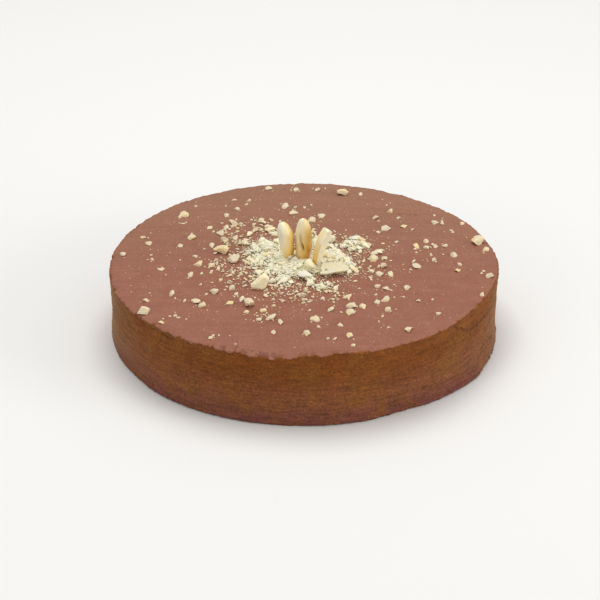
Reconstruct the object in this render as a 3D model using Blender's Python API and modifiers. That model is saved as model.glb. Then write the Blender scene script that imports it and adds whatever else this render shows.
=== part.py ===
"""Raw chocolate cake, whole and uncut: a low round cake coated in chocolate cream, with a heap of
chopped cashews in the middle of its top, three cashews standing in the heap and chips strewn around.

Metres, +Z up. The origin is the centre of the base, and the cake is seen from the -Y side.
Run with: blender --background --python part.py
"""

import math
import random
from dataclasses import dataclass, replace

import bmesh
import bpy
from mathutils import Matrix, Vector, noise

MM = 0.001

# The cake: what comes out of a 24 cm ring, plus the cream spread over it.
RING_RADIUS = 120.0 * MM
COAT = 2.5 * MM
RADIUS = RING_RADIUS + COAT
HEIGHT = 48.0 * MM

# Its turned outline. The top is flat in the middle and falls towards the lip.
FLAT_TOP = 60.0 * MM
FIRST_RING = 24.0 * MM
LIP_FALL = 1.6 * MM
LIP_ROUND = 2.0 * MM
WAIST = 0.9 * MM
FOOT_ROUND = 1.2 * MM
TURN_STEPS = 72
TOP_RINGS = 6
LIP_STEPS = 4
SIDE_RINGS = 5

# What the palette knife left: angles run from the front, towards +X. The lip's waves reach inwards to
# LIP_ZONE, a share of the radius, and fade out down the side from LIP_FROM to LIP_REACH.
LIP_ZONE = 0.84
LIP_FULL = 0.98
LIP_REACH = 29.0 * MM
LIP_FROM = 43.0 * MM
DROOP = 2.2 * MM
DROOP_ANGLE = math.radians(-9)
DROOP_HALF_WIDTH = math.radians(13)
LIFT = 1.1 * MM
LIFT_ANGLE = math.radians(11)
LIFT_HALF_WIDTH = math.radians(10)
LIP_WAVE = 0.35 * MM
WAVE_COUNTS = (5, 8, 13, 19)
SIDE_WAVE = 0.5 * MM
SIDE_WAVES_ROUND = 6.0
SIDE_WAVES_PER_METRE = 90.0
SIDE_FROM = 0.93
FRONT_RISE = 0.8 * MM

# Right of the front the lip was wiped off at a slant: it lies further in, down to SHOULDER_LOW.
SHOULDER = 2.6 * MM
SHOULDER_ANGLE = math.radians(63)
SHOULDER_HALF_WIDTH = math.radians(27)
SHOULDER_LOW = 36.0 * MM
SHOULDER_HIGH = 44.0 * MM

# Where the foot stands in or out: angle, half width in degrees, and how far out.
FOOT_BULGES = (
    (29, 15, -2.2 * MM),
    (58, 12, 1.6 * MM),
    (-62, 25, -1.3 * MM),
)
FOOT_REACH = 22.0 * MM

# Pieces that only touch keep this far apart.
GAP = 0.3 * MM

# Chopped nut: the chips that stand out, as x, y, length, width and turn in degrees.
PLACED_CHIPS = (
    (-38, -53, 7.0, 3.5, 75),
    (-55, -44, 5.5, 4.5, 0),
    (-44, -37, 8.5, 4.0, 80),
    (-81, -46, 5.0, 4.0, 60),
    (-66, -56, 6.5, 4.0, 150),
    (-61, -61, 5.5, 4.0, 60),
    (-45, -58, 5.5, 3.5, 30),
    (-20, -77, 7.5, 5.5, 20),
    (-14, -82, 7.5, 3.0, 100),
    (-66, -6, 6.5, 5.5, 30),
    (-58, -8, 6.0, 4.0, 70),
    (-90, -12, 5.0, 3.5, 150),
    (-72, 33, 6.5, 5.0, 80),
    (-100, 25, 5.5, 4.0, 140),
    (-104, 35, 4.5, 3.5, 100),
    (-79, 21, 4.5, 4.0, 30),
    (-115, 10, 6.0, 3.5, 125),
    (-79, 68, 7.5, 7.0, 70),
    (-13, 80, 6.5, 5.5, 60),
    (-7, 70, 6.5, 5.0, 10),
    (-24, 111, 5.0, 4.5, 0),
    (-46, 55, 7.5, 4.5, 130),
    (-31, 44, 5.5, 4.0, 80),
    (7, -78, 7.5, 6.5, 70),
    (29, -61, 7.0, 5.5, 60),
    (28, -70, 7.0, 5.5, 100),
    (27, -98, 6.0, 4.0, 100),
    (62, -90, 6.5, 4.0, 65),
    (50, -53, 7.5, 4.5, 60),
    (47, -19, 5.5, 5.0, 110),
    (44, 2, 7.5, 5.5, 70),
    (70, -8, 7.5, 4.5, 120),
    (115.8, -19.5, 6.0, 5.0, 80),
    (109, -44, 5.5, 3.0, 80),
    (11, 66, 6.5, 5.0, 130),
    (53, 47, 7.5, 6.5, 100),
    (65, 50, 5.0, 3.5, 20),
    (57, 73, 5.0, 4.0, 30),
    (86, 57, 5.5, 5.0, 0),
    (116, 17, 5.5, 4.0, 70),
    (95, 8, 5.5, 4.5, 80),
    (72, 20, 6.5, 3.5, 110),
    (37, 30, 6.5, 5.5, 30),
    (-85, -82, 3.5, 3.0, 20),
    (-77, -73, 4.0, 2.5, 80),
    (-96, -54, 4.0, 3.0, 10),
    (-18, -95, 4.0, 3.0, 100),
    (-55, -101, 3.0, 2.5, 30),
    (-24, -68, 4.5, 3.5, 60),
    (-27, -79, 4.5, 3.5, 140),
    (-71, -20.5, 5.0, 4.0, 70),
    (-34.5, -70, 4.0, 3.0, 20),
    (2, -96, 5.0, 4.0, 110),
    (18, -102.5, 3.0, 2.5, 0),
    (29, -111, 3.5, 3.0, 60),
    (21.5, -86, 3.5, 3.0, 130),
    (16, -66, 5.0, 4.0, 40),
    (35.5, -62.5, 5.0, 4.0, 100),
    (26, -49.5, 5.5, 4.5, 20),
    (50.5, -39, 4.5, 3.5, 160),
    (45.5, -35.5, 5.0, 4.0, 30),
    (51, -66, 6.0, 4.5, 80),
    (44.5, -56.5, 4.5, 4.0, 30),
    (69.5, -54, 3.5, 3.0, 60),
    (63, -37.5, 5.0, 4.0, 120),
    (96, -13, 4.5, 3.5, 30),
    (82, 1.5, 4.0, 3.0, 100),
    (50.5, -7.5, 6.0, 4.5, 70),
    (51, 3.5, 4.5, 3.5, 20),
    (42, -15, 4.5, 3.5, 150),
    (54, -19.5, 6.0, 3.5, 100),
    (38, 101.5, 4.0, 2.5, 90),
    (9.5, 109, 6.0, 3.5, 80),
    (90.5, 55, 3.0, 2.5, 10),
    (103.5, 56, 5.0, 3.0, 70),
    (46.5, 63.5, 5.0, 4.0, 110),
    (78.5, 28, 5.0, 3.5, 80),
    (78.5, 17.5, 4.0, 3.5, 20),
    (84, 21, 5.5, 3.0, 100),
    (40, 22.5, 8.5, 4.5, 120),
    (-44.5, 76.5, 4.0, 3.5, 30),
    (-51, 66, 5.0, 3.5, 80),
    (-46.5, 91.5, 3.0, 2.5, 0),
    (-36.5, 90.5, 3.0, 2.5, 60),
    (-5.5, 109, 5.0, 4.0, 110),
    (-61.5, 47.5, 4.5, 3.5, 30),
    (-51, 47, 5.0, 4.0, 60),
    (-54, 39, 6.0, 5.0, 140),
    (-51, 30.5, 6.0, 4.5, 20),
    (-44.5, 31.5, 5.0, 4.0, 80),
    (-35.5, 37.5, 6.0, 4.0, 100),
    (-38, 25.5, 6.5, 4.5, 80),
    (-59, 21.5, 6.5, 3.5, 90),
    (-28, 58, 6.0, 4.0, 40),
    (-23.5, 49, 5.0, 4.0, 0),
    (5, 58, 6.5, 5.0, 70),
    (-22, 42.5, 6.5, 3.5, 0),
    (-18.5, 36.5, 6.5, 3.0, 170),
    (44.5, 9.5, 5.0, 4.5, 10),
    (48, 15, 6.5, 2.5, 170),
    (19.5, -39.5, 5.5, 2.5, 55),
)

# The other chips follow a rule: thick near the heap, thin towards the rim.
STREWN_CHIPS = 50
STREW_SEED = 24
STREW_FROM = 37.0 * MM
STREW_TO = 117.0 * MM
STREW_POWER = 1.35
CHIP_SHORTEST = 2.8 * MM
CHIP_SPREAD = 2.6 * MM
CHIP_HIGHEST = 4.5 * MM
CHIP_CORNERS = 9
CHIP_SINK = 0.28
CHIP_TILT = 0.25
CORNER_SHAKE = 0.28

# The chunks as large as a berry, as name, x, y, length, width, height and turn.
CHUNKS = (
    ("chunk_front_left", -27, -36.5, 13.0, 10.0, 6.5, 60),
    ("chunk_left", -45, -1, 9.0, 8.5, 5.5, 100),
    ("chunk_left_back", -52, 12, 10.0, 8.0, 5.5, 150),
    ("chunk_near", -33.5, -60, 8.5, 6.5, 4.5, 80),
    ("chunk_rim_left", -96, -69, 8.5, 6.5, 4.0, 20),
    ("chunk_rim_right", 111, 28, 9.5, 7.0, 4.5, 60),
    ("chunk_back", 26, 102, 8.5, 7.0, 5.0, 110),
)
CHUNK_CORNERS = 18
CHUNK_RISE = 0.42
CHUNK_TILT = 0.08

# The heap: a low core with its showing pieces fused on.
HEAP_CENTRE = Vector((-0.5 * MM, -1.0 * MM))
CORE_RADIUS = 30.0 * MM
CORE_HEIGHT = 3.8 * MM
CORE_EDGE = 0.8 * MM
CORE_ROUGHNESS = 0.2
HEAP_RADIUS = 34.0 * MM
HEAP_PIECES = 96
HEAP_SEED = 11
HEAP_SHORTEST = 4.2 * MM
HEAP_SPREAD = 3.4 * MM
HEAP_SMALLEST = 3.0 * MM
HEAP_RISE = 0.3
HEAP_TILT = 0.5
HEAP_PLACED = (
    (1, -20, 7.5, 5.5, 120),
    (-13, -26, 7.5, 5.0, 80),
    (27, 8, 8.0, 5.5, 110),
)


@dataclass(frozen=True)
class Nut:
    """One kernel: an arc of this length and bend, with this width across both halves and depth in the bend.

    The taper narrows its lower end, the groove is its seam, and a split kernel is half a kernel. A kernel
    whose bend is negative curves the other way.
    """

    x: float
    y: float
    lean_right: float
    lean_back: float
    turn: float
    length: float
    width: float
    depth: float
    bend: float
    taper: float = 0.14
    groove: float = 0.0
    split: bool = False
    broken_off: float = 0.0


# The standing cashews, by the place of the lower end and the lean of the axis in degrees.
STANDING_NUTS = {
    "cashew_left": Nut(
        x=-10.5 * MM,
        y=-1.0 * MM,
        lean_right=-7.0,
        lean_back=0.0,
        turn=150.0,
        length=30.0 * MM,
        width=8.8 * MM,
        depth=9.2 * MM,
        bend=60.0 * MM,
        taper=0.26,
        groove=0.4 * MM,
    ),
    "cashew_middle": Nut(
        x=-1.2 * MM,
        y=-3.5 * MM,
        lean_right=0.5,
        lean_back=0.0,
        turn=-105.0,
        length=33.2 * MM,
        width=10.8 * MM,
        depth=10.6 * MM,
        bend=40.0 * MM,
        taper=0.04,
        groove=1.2 * MM,
    ),
    "cashew_right": Nut(
        x=8.4 * MM,
        y=-8.5 * MM,
        lean_right=17.5,
        lean_back=3.0,
        turn=60.0,
        length=33.0 * MM,
        width=10.6 * MM,
        depth=9.0 * MM,
        bend=38.0 * MM,
        taper=0.26,
        split=True,
        broken_off=5.5 * MM,
    ),
}
NUT_DEPTH = 2.0 * MM
NUT_CLEARANCE = 0.35 * MM
NUT_FEET = (2.0 * MM, 5.0 * MM, 8.0 * MM, 11.0 * MM)
NUT_ROUND_SIDES = 16
NUT_LONG_STEPS = 14
NUT_BLUNTNESS = 2.3
SEAM_WIDTH = 0.3
SPLIT_MARGIN = 0.4 * MM
BREAK_NORMAL = (-0.25, 0.1, -1.0)

# The broken half kernel that lies split side up against the front of the heap.
LYING_NUT = Nut(
    x=17.8 * MM,
    y=-21.8 * MM,
    lean_right=0.0,
    lean_back=0.0,
    turn=98.0,
    length=21.0 * MM,
    width=8.0 * MM,
    depth=8.4 * MM,
    bend=-20.0 * MM,
    split=True,
    broken_off=3.0 * MM,
)
LYING_TILT = 24.0
LYING_RISE = 4.1 * MM

SHARP_ANGLE = math.radians(32)
GOLDEN_ANGLE = math.pi * (3 - math.sqrt(5))


def make_material(name, colour, roughness):
    """A Principled material of one linear colour."""
    material = bpy.data.materials.new(name)
    material.use_nodes = True
    shader = material.node_tree.nodes["Principled BSDF"]
    shader.inputs["Base Color"].default_value = (*colour, 1.0)
    shader.inputs["Roughness"].default_value = roughness
    shader.inputs["Metallic"].default_value = 0.0
    return material


def object_from(bm, name, material, collection):
    """A named object from a bmesh, with its faces turned outwards."""
    bmesh.ops.recalc_face_normals(bm, faces=bm.faces)
    mesh = bpy.data.meshes.new(name)
    bm.to_mesh(mesh)
    bm.free()
    mesh.materials.append(material)
    obj = bpy.data.objects.new(name, mesh)
    collection.objects.link(obj)
    return obj


def apply_modifiers(obj):
    """Replaces the object's mesh by what its modifiers make of it."""
    bpy.context.view_layer.update()
    graph = bpy.context.evaluated_depsgraph_get()
    mesh = bpy.data.meshes.new_from_object(obj.evaluated_get(graph))
    obj.modifiers.clear()
    obj.data = mesh


def boolean(obj, operation, collection, solver="EXACT"):
    """One Boolean between the object and all of a collection, applied."""
    modifier = obj.modifiers.new(operation.lower(), "BOOLEAN")
    modifier.operation = operation
    modifier.operand_type = "COLLECTION"
    modifier.collection = collection
    modifier.solver = solver
    modifier.material_mode = "TRANSFER"
    apply_modifiers(obj)


def drop_scraps(obj):
    """Keeps the connected skin with the most faces: no loose scrap is left, and no sealed hollow."""
    bm = bmesh.new()
    bm.from_mesh(obj.data)
    left = set(bm.faces)
    skins = []
    while left:
        skin = [left.pop()]
        for face in skin:
            near = {other for edge in face.edges for other in edge.link_faces} & left
            skin.extend(near)
            left -= near
        skins.append(skin)
    skins.sort(key=len)
    for skin in skins[:-1]:
        bmesh.ops.delete(bm, geom=skin, context="FACES")
    bm.to_mesh(obj.data)
    bm.free()


def remove_all(objects):
    for obj in list(objects):
        bpy.data.objects.remove(obj, do_unlink=True)


def smooth_step(value):
    value = min(max(value, 0.0), 1.0)
    return value * value * (3 - 2 * value)


def swell(angle, centre, half_width):
    """1 at the centre angle, falling smoothly to 0 at half_width to each side."""
    away = abs(math.remainder(angle - centre, math.tau)) / half_width
    return math.cos(min(away, 1.0) * math.pi / 2) ** 2


def lip_lift(angle):
    """How far the lip stands above its usual height: it droops left of the front and rises right of it."""
    wave = sum(math.sin(count * angle + count) / count for count in WAVE_COUNTS)
    lift = LIFT * swell(angle, LIFT_ANGLE, LIFT_HALF_WIDTH) + FRONT_RISE * math.cos(angle / 2) ** 2
    return LIP_WAVE * wave - DROOP * swell(angle, DROOP_ANGLE, DROOP_HALF_WIDTH) + lift


def lip_share(radius):
    """How much of the lip's lift a place at this radius takes."""
    return smooth_step((radius / RADIUS - LIP_ZONE) / (LIP_FULL - LIP_ZONE))


def turned_height(radius):
    """Height of the top before it is made uneven."""
    outward = max(radius - FLAT_TOP, 0.0) / (RADIUS - FLAT_TOP)
    return HEIGHT - LIP_FALL * outward**3


def top_height(x, y):
    """Height of the cream at a place on the top."""
    radius = math.hypot(x, y)
    return turned_height(radius) + lip_share(radius) * lip_lift(math.atan2(x, -y))


def cake_profile():
    """(radius, height) of the outer side: over the top, round the lip, in at the waist, out to the foot."""
    lip_centre = HEIGHT - LIP_FALL - LIP_ROUND
    points = [(0.0, HEIGHT)]
    for ring in range(TOP_RINGS + 1):
        outward = math.sin(math.pi / 2 * ring / TOP_RINGS)
        radius = FIRST_RING + outward * (RADIUS - LIP_ROUND - FIRST_RING)
        points.append((radius, turned_height(radius)))
    for step in range(1, LIP_STEPS + 1):
        angle = math.pi / 2 * step / LIP_STEPS
        radius = RADIUS - LIP_ROUND * (1 - math.sin(angle))
        points.append((radius, lip_centre + LIP_ROUND * math.cos(angle)))
    for ring in range(1, SIDE_RINGS + 1):
        height = lip_centre + (FOOT_ROUND - lip_centre) * ring / SIDE_RINGS
        points.append((RADIUS - WAIST * math.sin(math.pi * height / lip_centre), height))
    points.append((RADIUS - FOOT_ROUND, 0.0))
    points.append((0.0, 0.0))
    return points


def foot_spread(angle):
    """How far the foot stands out at this angle."""
    bulges = [(math.radians(at), math.radians(half), out) for at, half, out in FOOT_BULGES]
    return sum(out * swell(angle, at, half) for at, half, out in bulges)


def spread_by_hand(point):
    """Where a point of the turned body lies once its lip waves and its side is uneven."""
    radius = math.hypot(point.x, point.y)
    if radius < FLAT_TOP:
        return point
    angle = math.atan2(point.x, -point.y)
    round_place = SIDE_WAVES_ROUND * Vector((math.cos(angle), math.sin(angle), 0.0))
    wobble = noise.noise(round_place + Vector((0.0, 0.0, SIDE_WAVES_PER_METRE * point.z)))
    on_side = smooth_step((radius / RADIUS - SIDE_FROM) / (LIP_FULL - SIDE_FROM))
    shoulder = SHOULDER * swell(angle, SHOULDER_ANGLE, SHOULDER_HALF_WIDTH) * lip_share(radius)
    shoulder *= min(max((point.z - SHOULDER_LOW) / (SHOULDER_HIGH - SHOULDER_LOW), 0.0), 1.0)
    foot = foot_spread(angle) * smooth_step((FOOT_REACH - point.z) / FOOT_REACH)
    grow = 1 + (on_side * (SIDE_WAVE * wobble + foot) - shoulder) / RADIUS
    near_top = smooth_step((point.z - LIP_REACH) / (LIP_FROM - LIP_REACH))
    lift = lip_share(radius) * near_top * lip_lift(angle)
    return Vector((point.x * grow, point.y * grow, point.z + lift))


def make_cake_body(material, collection):
    """The body: a turned profile, then made as uneven as cream spread by hand."""
    mesh = bpy.data.meshes.new("cake_body")
    points = cake_profile()
    edges = [(index, index + 1) for index in range(len(points) - 1)]
    mesh.from_pydata([(radius, 0.0, height) for radius, height in points], edges, [])
    mesh.materials.append(material)
    body = bpy.data.objects.new("cake_body", mesh)
    collection.objects.link(body)
    screw = body.modifiers.new("turn", "SCREW")
    screw.steps = TURN_STEPS
    screw.render_steps = TURN_STEPS
    screw.use_merge_vertices = True
    screw.merge_threshold = 0.01 * MM
    apply_modifiers(body)
    for vert in body.data.vertices:
        vert.co = spread_by_hand(vert.co)
    return body


def chunk_corners(rng, length, width, height, corners):
    """Corners of one chopped piece: a spiral over an ellipsoid, shaken, so that its faces are uneven."""
    points = []
    for index in range(corners):
        z = 1 - 2 * (index + 0.5) / corners
        across = math.sqrt(1 - z * z)
        angle = index * GOLDEN_ANGLE
        shake = Vector([rng.uniform(-CORNER_SHAKE, CORNER_SHAKE) for _ in range(3)])
        corner = Vector((across * math.cos(angle), across * math.sin(angle), z)) + shake
        corner.normalize()
        points.append(Vector((corner.x * length, corner.y * width, corner.z * height)) / 2)
    return points


def make_chunk(name, corners, place, turn, tilt, floor, material, collection):
    """One chopped piece: the hull of its corners, flat where it would pass below the floor."""
    turned = Matrix.Rotation(math.radians(turn), 4, "Z") @ Matrix.Rotation(tilt, 4, "Y")
    matrix = Matrix.Translation(place) @ turned
    bm = bmesh.new()
    for corner in corners:
        point = matrix @ corner
        point.z = max(point.z, floor)
        bm.verts.new(point)
    made = bmesh.ops.convex_hull(bm, input=bm.verts)
    spare = set(made["geom_interior"]) | set(made["geom_unused"])
    spare_verts = [item for item in spare if isinstance(item, bmesh.types.BMVert)]
    bmesh.ops.delete(bm, geom=spare_verts, context="VERTS")
    return object_from(bm, name, material, collection)


def clear_of(x, y, reach, taken):
    return all(math.hypot(x - other[0], y - other[1]) > reach + other[2] for other in taken)


def strew_chips(taken):
    """Places of the chips that follow the rule, as x, y, length, width and turn in degrees."""
    rng = random.Random(STREW_SEED)
    taken = list(taken)
    chips = []
    while len(chips) < STREWN_CHIPS:
        outward = rng.random() ** STREW_POWER
        radius = STREW_FROM + (STREW_TO - STREW_FROM) * outward
        angle = rng.uniform(0, math.tau)
        length = CHIP_SHORTEST + CHIP_SPREAD * rng.random() ** 2
        width = length * rng.uniform(0.55, 0.9)
        x = radius * math.cos(angle)
        y = radius * math.sin(angle)
        if clear_of(x, y, length / 2 + GAP, taken):
            taken.append((x, y, length / 2))
            chips.append((x, y, length, width, rng.uniform(0, 180)))
    return chips


def make_chips(material, collection):
    """Every chip that lies on the cream, sunk a little into it."""
    placed = [(x * MM, y * MM, long * MM, wide * MM, turn) for x, y, long, wide, turn in PLACED_CHIPS]
    taken = [(x, y, long / 2) for x, y, long, wide, turn in placed]
    taken += [(x * MM, y * MM, long * MM / 2) for _, x, y, long, wide, high, turn in CHUNKS]
    taken.append((LYING_NUT.x, LYING_NUT.y, LYING_NUT.length / 2))
    rng = random.Random(STREW_SEED + 1)
    for index, (x, y, length, width, turn) in enumerate(placed + strew_chips(taken)):
        height = min(width, CHIP_HIGHEST) * rng.uniform(0.65, 0.9)
        corners = chunk_corners(rng, length, width, height, CHIP_CORNERS)
        z = top_height(x, y) + height * (0.5 - CHIP_SINK)
        tilt = rng.uniform(-CHIP_TILT, CHIP_TILT)
        place = Vector((x, y, z))
        make_chunk(f"chip_{index}", corners, place, turn, tilt, 0.0, material, collection)


def make_chunks(material, collection):
    """The large loose chunks: each is its own node and rests on the cream."""
    rng = random.Random(STREW_SEED + 2)
    for name, x, y, length, width, height, turn in CHUNKS:
        corners = chunk_corners(rng, length * MM, width * MM, height * MM, CHUNK_CORNERS)
        x *= MM
        y *= MM
        floor = top_height(x, y) + GAP
        place = Vector((x, y, floor + CHUNK_RISE * height * MM))
        make_chunk(name, corners, place, turn, CHUNK_TILT, floor, material, collection)


def cut_flat(bm, point, normal):
    """Takes away what lies behind a plane and closes the cut."""
    everything = bm.verts[:] + bm.edges[:] + bm.faces[:]
    bmesh.ops.bisect_plane(bm, geom=everything, plane_co=point, plane_no=normal, clear_inner=True)
    rim = [edge for edge in bm.edges if edge.is_boundary]
    bmesh.ops.holes_fill(bm, edges=rim, sides=0)


def kernel_bmesh(nut):
    """A kernel: a sphere drawn out along an arc, standing on its lower end.

    Local X points to the hollow side, where the seam is. A split kernel keeps its +Y half.
    """
    bm = bmesh.new()
    bmesh.ops.create_uvsphere(bm, u_segments=NUT_ROUND_SIDES, v_segments=NUT_LONG_STEPS, radius=1.0)
    half_length = nut.length / 2
    chord = nut.bend * math.cos(half_length / nut.bend)
    for vert in bm.verts:
        along = math.asin(max(-1.0, min(1.0, vert.co.z))) / (math.pi / 2)
        around = math.atan2(vert.co.y, vert.co.x)
        section = math.sqrt(max(1 - abs(along) ** NUT_BLUNTNESS, 0.0)) * (1 + nut.taper * along)
        seam = math.exp(-((around / SEAM_WIDTH) ** 2)) * smooth_step(1.2 - 1.5 * abs(along))
        hollow = (nut.depth / 2 - nut.groove * seam) * section * math.cos(around)
        across = nut.width / 2 * section * math.sin(around)
        arc = along * half_length / nut.bend
        reach = nut.bend - hollow
        vert.co = (chord - reach * math.cos(arc), across, half_length + reach * math.sin(arc))
    if nut.split:
        cut_flat(bm, (0, -SPLIT_MARGIN, 0), (0, 1, 0))
    if nut.broken_off:
        cut_flat(bm, (0, 0, nut.length - nut.broken_off), BREAK_NORMAL)
    return bm


def grown(nut, by):
    """The same kernel, larger by a clearance all round."""
    return replace(
        nut,
        length=nut.length + 2 * by,
        width=nut.width + 2 * by,
        depth=nut.depth + 2 * by,
    )


def standing_matrix(nut):
    place = Matrix.Translation((nut.x, nut.y, HEIGHT - NUT_DEPTH))
    lean_side = Matrix.Rotation(math.radians(nut.lean_right), 4, "Y")
    lean_back = Matrix.Rotation(-math.radians(nut.lean_back), 4, "X")
    return place @ lean_side @ lean_back @ Matrix.Rotation(math.radians(nut.turn), 4, "Z")


def lying_matrix(nut):
    """On its round side, with the middle of its length at its place and its split side tilted forwards."""
    place = Matrix.Translation((nut.x, nut.y, HEIGHT + LYING_RISE))
    tilt = Matrix.Rotation(math.radians(LYING_TILT), 4, "X")
    turn = Matrix.Rotation(math.radians(nut.turn), 4, "Z")
    lay = Matrix.Rotation(math.radians(-90), 4, "X")
    return place @ tilt @ turn @ lay @ Matrix.Translation((0, 0, -nut.length / 2))


def make_nut(name, nut, matrix, material, collection, cutters):
    """A kernel, and a slightly larger cutter for the pocket that it stands in."""
    whole = object_from(kernel_bmesh(nut), name, material, collection)
    cutter = object_from(kernel_bmesh(grown(nut, NUT_CLEARANCE)), f"{name}_pocket", material, cutters)
    whole.matrix_world = matrix
    cutter.matrix_world = matrix @ Matrix.Translation((0, 0, -NUT_CLEARANCE))
    whole.data.shade_smooth()


def make_nuts(material, collection, cutters):
    for name, nut in STANDING_NUTS.items():
        make_nut(name, nut, standing_matrix(nut), material, collection, cutters)
    make_nut("chunk_front_right", LYING_NUT, lying_matrix(LYING_NUT), material, collection, cutters)


def make_core(material, collection):
    """The heap's core: a low uneven dome with a flat underside on the cream."""
    bm = bmesh.new()
    bmesh.ops.create_uvsphere(bm, u_segments=28, v_segments=12, radius=1.0)
    floor = HEIGHT + GAP
    for vert in bm.verts:
        bumps = noise.noise(3 * vert.co)
        reach = CORE_RADIUS * (1 + CORE_ROUGHNESS * bumps)
        lift = CORE_EDGE + max(vert.co.z, 0.0) * CORE_HEIGHT * (1 + 2 * CORE_ROUGHNESS * bumps)
        vert.co = (
            HEAP_CENTRE.x + reach * vert.co.x,
            HEAP_CENTRE.y + reach * vert.co.y,
            floor + (lift if vert.co.z > -0.01 else 0.0),
        )
    return object_from(bm, "nut_heap", material, collection)


def middle_of_kernel(nut, length):
    """The local point this far up the bent middle line of a kernel."""
    half_length = nut.length / 2
    arc = (length - half_length) / nut.bend
    chord = nut.bend * math.cos(half_length / nut.bend)
    return Vector((chord - nut.bend * math.cos(arc), 0.0, half_length + nut.bend * math.sin(arc)))


def nut_feet():
    """Points up the foot of every standing nut, each with the nut's own radius."""
    feet = []
    for nut in STANDING_NUTS.values():
        matrix = standing_matrix(nut)
        radius = max(nut.width, nut.depth) / 2
        feet += [(matrix @ middle_of_kernel(nut, length), radius) for length in NUT_FEET]
    return feet


def heap_places(rng):
    """Places on the heap by the golden angle, as x, y, length, width and turn in degrees."""
    places = [(x * MM, y * MM, long * MM, wide * MM, turn) for x, y, long, wide, turn in HEAP_PLACED]
    for index in range(HEAP_PIECES):
        radius = HEAP_RADIUS * math.sqrt((index + 0.5) / HEAP_PIECES) * rng.uniform(0.92, 1.05)
        angle = index * GOLDEN_ANGLE
        length = HEAP_SHORTEST + HEAP_SPREAD * rng.random() ** 2
        x = HEAP_CENTRE.x + radius * math.cos(angle)
        y = HEAP_CENTRE.y + radius * math.sin(angle)
        places.append((x, y, length, length * rng.uniform(0.6, 0.9), rng.uniform(0, 180)))
    return places


def make_heap_pieces(material, collection):
    """The pieces that show on the heap. One too near a standing nut is smaller or left out."""
    rng = random.Random(HEAP_SEED)
    floor = HEIGHT + GAP
    loose = [(x * MM, y * MM, long * MM / 2) for _, x, y, long, wide, high, turn in CHUNKS]
    reach = LYING_NUT.depth / 2
    loose += [(LYING_NUT.x + side * reach, LYING_NUT.y, reach) for side in (-1, 0, 1)]
    for index, (x, y, length, width, turn) in enumerate(heap_places(rng)):
        outward = math.hypot(x - HEAP_CENTRE.x, y - HEAP_CENTRE.y) / HEAP_RADIUS
        height = width * rng.uniform(0.7, 1.0)
        lift = max(1 - outward**2, 0.0) * CORE_HEIGHT
        place = Vector((x, y, floor + HEAP_RISE * height + lift))
        room = 2 * min((place - foot).length - radius - GAP for foot, radius in nut_feet())
        if room < HEAP_SMALLEST or not clear_of(x, y, length / 2 + GAP, loose):
            continue
        fit = min(1.0, room / length)
        corners = chunk_corners(rng, length * fit, width * fit, height * fit, CHIP_CORNERS)
        tilt = rng.uniform(-HEAP_TILT, HEAP_TILT)
        make_chunk(f"piece_{index}", corners, place, turn, tilt, floor, material, collection)


def main():
    remove_all(bpy.data.objects)
    scene = bpy.context.scene.collection
    cake = bpy.data.collections.new("raw_chocolate_cake")
    cutters = bpy.data.collections.new("cutters")
    chips = bpy.data.collections.new("chips")
    pieces = bpy.data.collections.new("pieces")
    for collection in (cake, cutters, chips, pieces):
        scene.children.link(collection)
    cream = make_material("chocolate_cream", (0.30, 0.12, 0.07), 0.6)
    nut = make_material("chopped_cashew", (0.78, 0.66, 0.44), 0.55)
    make_nuts(nut, cake, cutters)
    make_chunks(nut, cake)
    body = make_cake_body(cream, cake)
    boolean(body, "DIFFERENCE", cutters)
    make_chips(nut, chips)
    boolean(body, "UNION", chips)
    drop_scraps(body)
    body.data.shade_smooth()
    body.data.set_sharp_from_angle(angle=SHARP_ANGLE)
    heap = make_core(nut, cake)
    boolean(heap, "DIFFERENCE", cutters)
    make_heap_pieces(nut, pieces)
    boolean(heap, "UNION", pieces, "MANIFOLD")
    drop_scraps(heap)
    remove_all([*chips.objects, *pieces.objects])
    for cutter in cutters.objects:
        cutter.hide_render = True
        cutter.display_type = "WIRE"


main()
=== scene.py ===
"""Looks of the raw chocolate cake.

A low round cake coated in matte chocolate cream, with chopped cashew heaped in the middle of its top,
three cashews standing in the heap, and chips, crumbs and dust of cashew strewn over the cream.

Metres, +Z up. The origin is the centre of the base, and the cake is seen from the -Y side. Angles round
the cake run from the front towards +X.
"""

from __future__ import annotations

import logging
import math
import random
from collections.abc import Iterable, Sequence
from dataclasses import dataclass, replace
from enum import Enum
from functools import partial

import bmesh
import bpy
import numpy as np
from mathutils import Matrix, Vector, noise

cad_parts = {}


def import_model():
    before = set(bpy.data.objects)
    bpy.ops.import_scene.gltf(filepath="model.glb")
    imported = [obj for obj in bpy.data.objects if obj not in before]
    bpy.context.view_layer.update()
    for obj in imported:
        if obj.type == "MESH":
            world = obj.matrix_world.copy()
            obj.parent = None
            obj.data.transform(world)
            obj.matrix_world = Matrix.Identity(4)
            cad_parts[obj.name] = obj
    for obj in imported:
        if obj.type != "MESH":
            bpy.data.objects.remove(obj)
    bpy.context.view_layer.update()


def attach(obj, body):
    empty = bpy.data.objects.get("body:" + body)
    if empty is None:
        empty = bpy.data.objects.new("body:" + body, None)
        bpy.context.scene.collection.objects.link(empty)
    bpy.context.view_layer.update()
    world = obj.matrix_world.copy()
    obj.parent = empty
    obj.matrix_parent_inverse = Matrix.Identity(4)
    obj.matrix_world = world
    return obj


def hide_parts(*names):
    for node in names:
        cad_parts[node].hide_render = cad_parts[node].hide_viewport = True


MM = 0.001
BODY = "root"
PAINT = "paint"
CHOPPED = "chopped_cashew"
GOLDEN_ANGLE = math.pi * (3 - math.sqrt(5))
# Smooth noise seldom passes 0.6: this brings it to about -1 to 1.
NOISE_GAIN = 1.7
# Edges of broken nut that are sharper than this stay crisp.
CRISP = math.radians(30)
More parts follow.
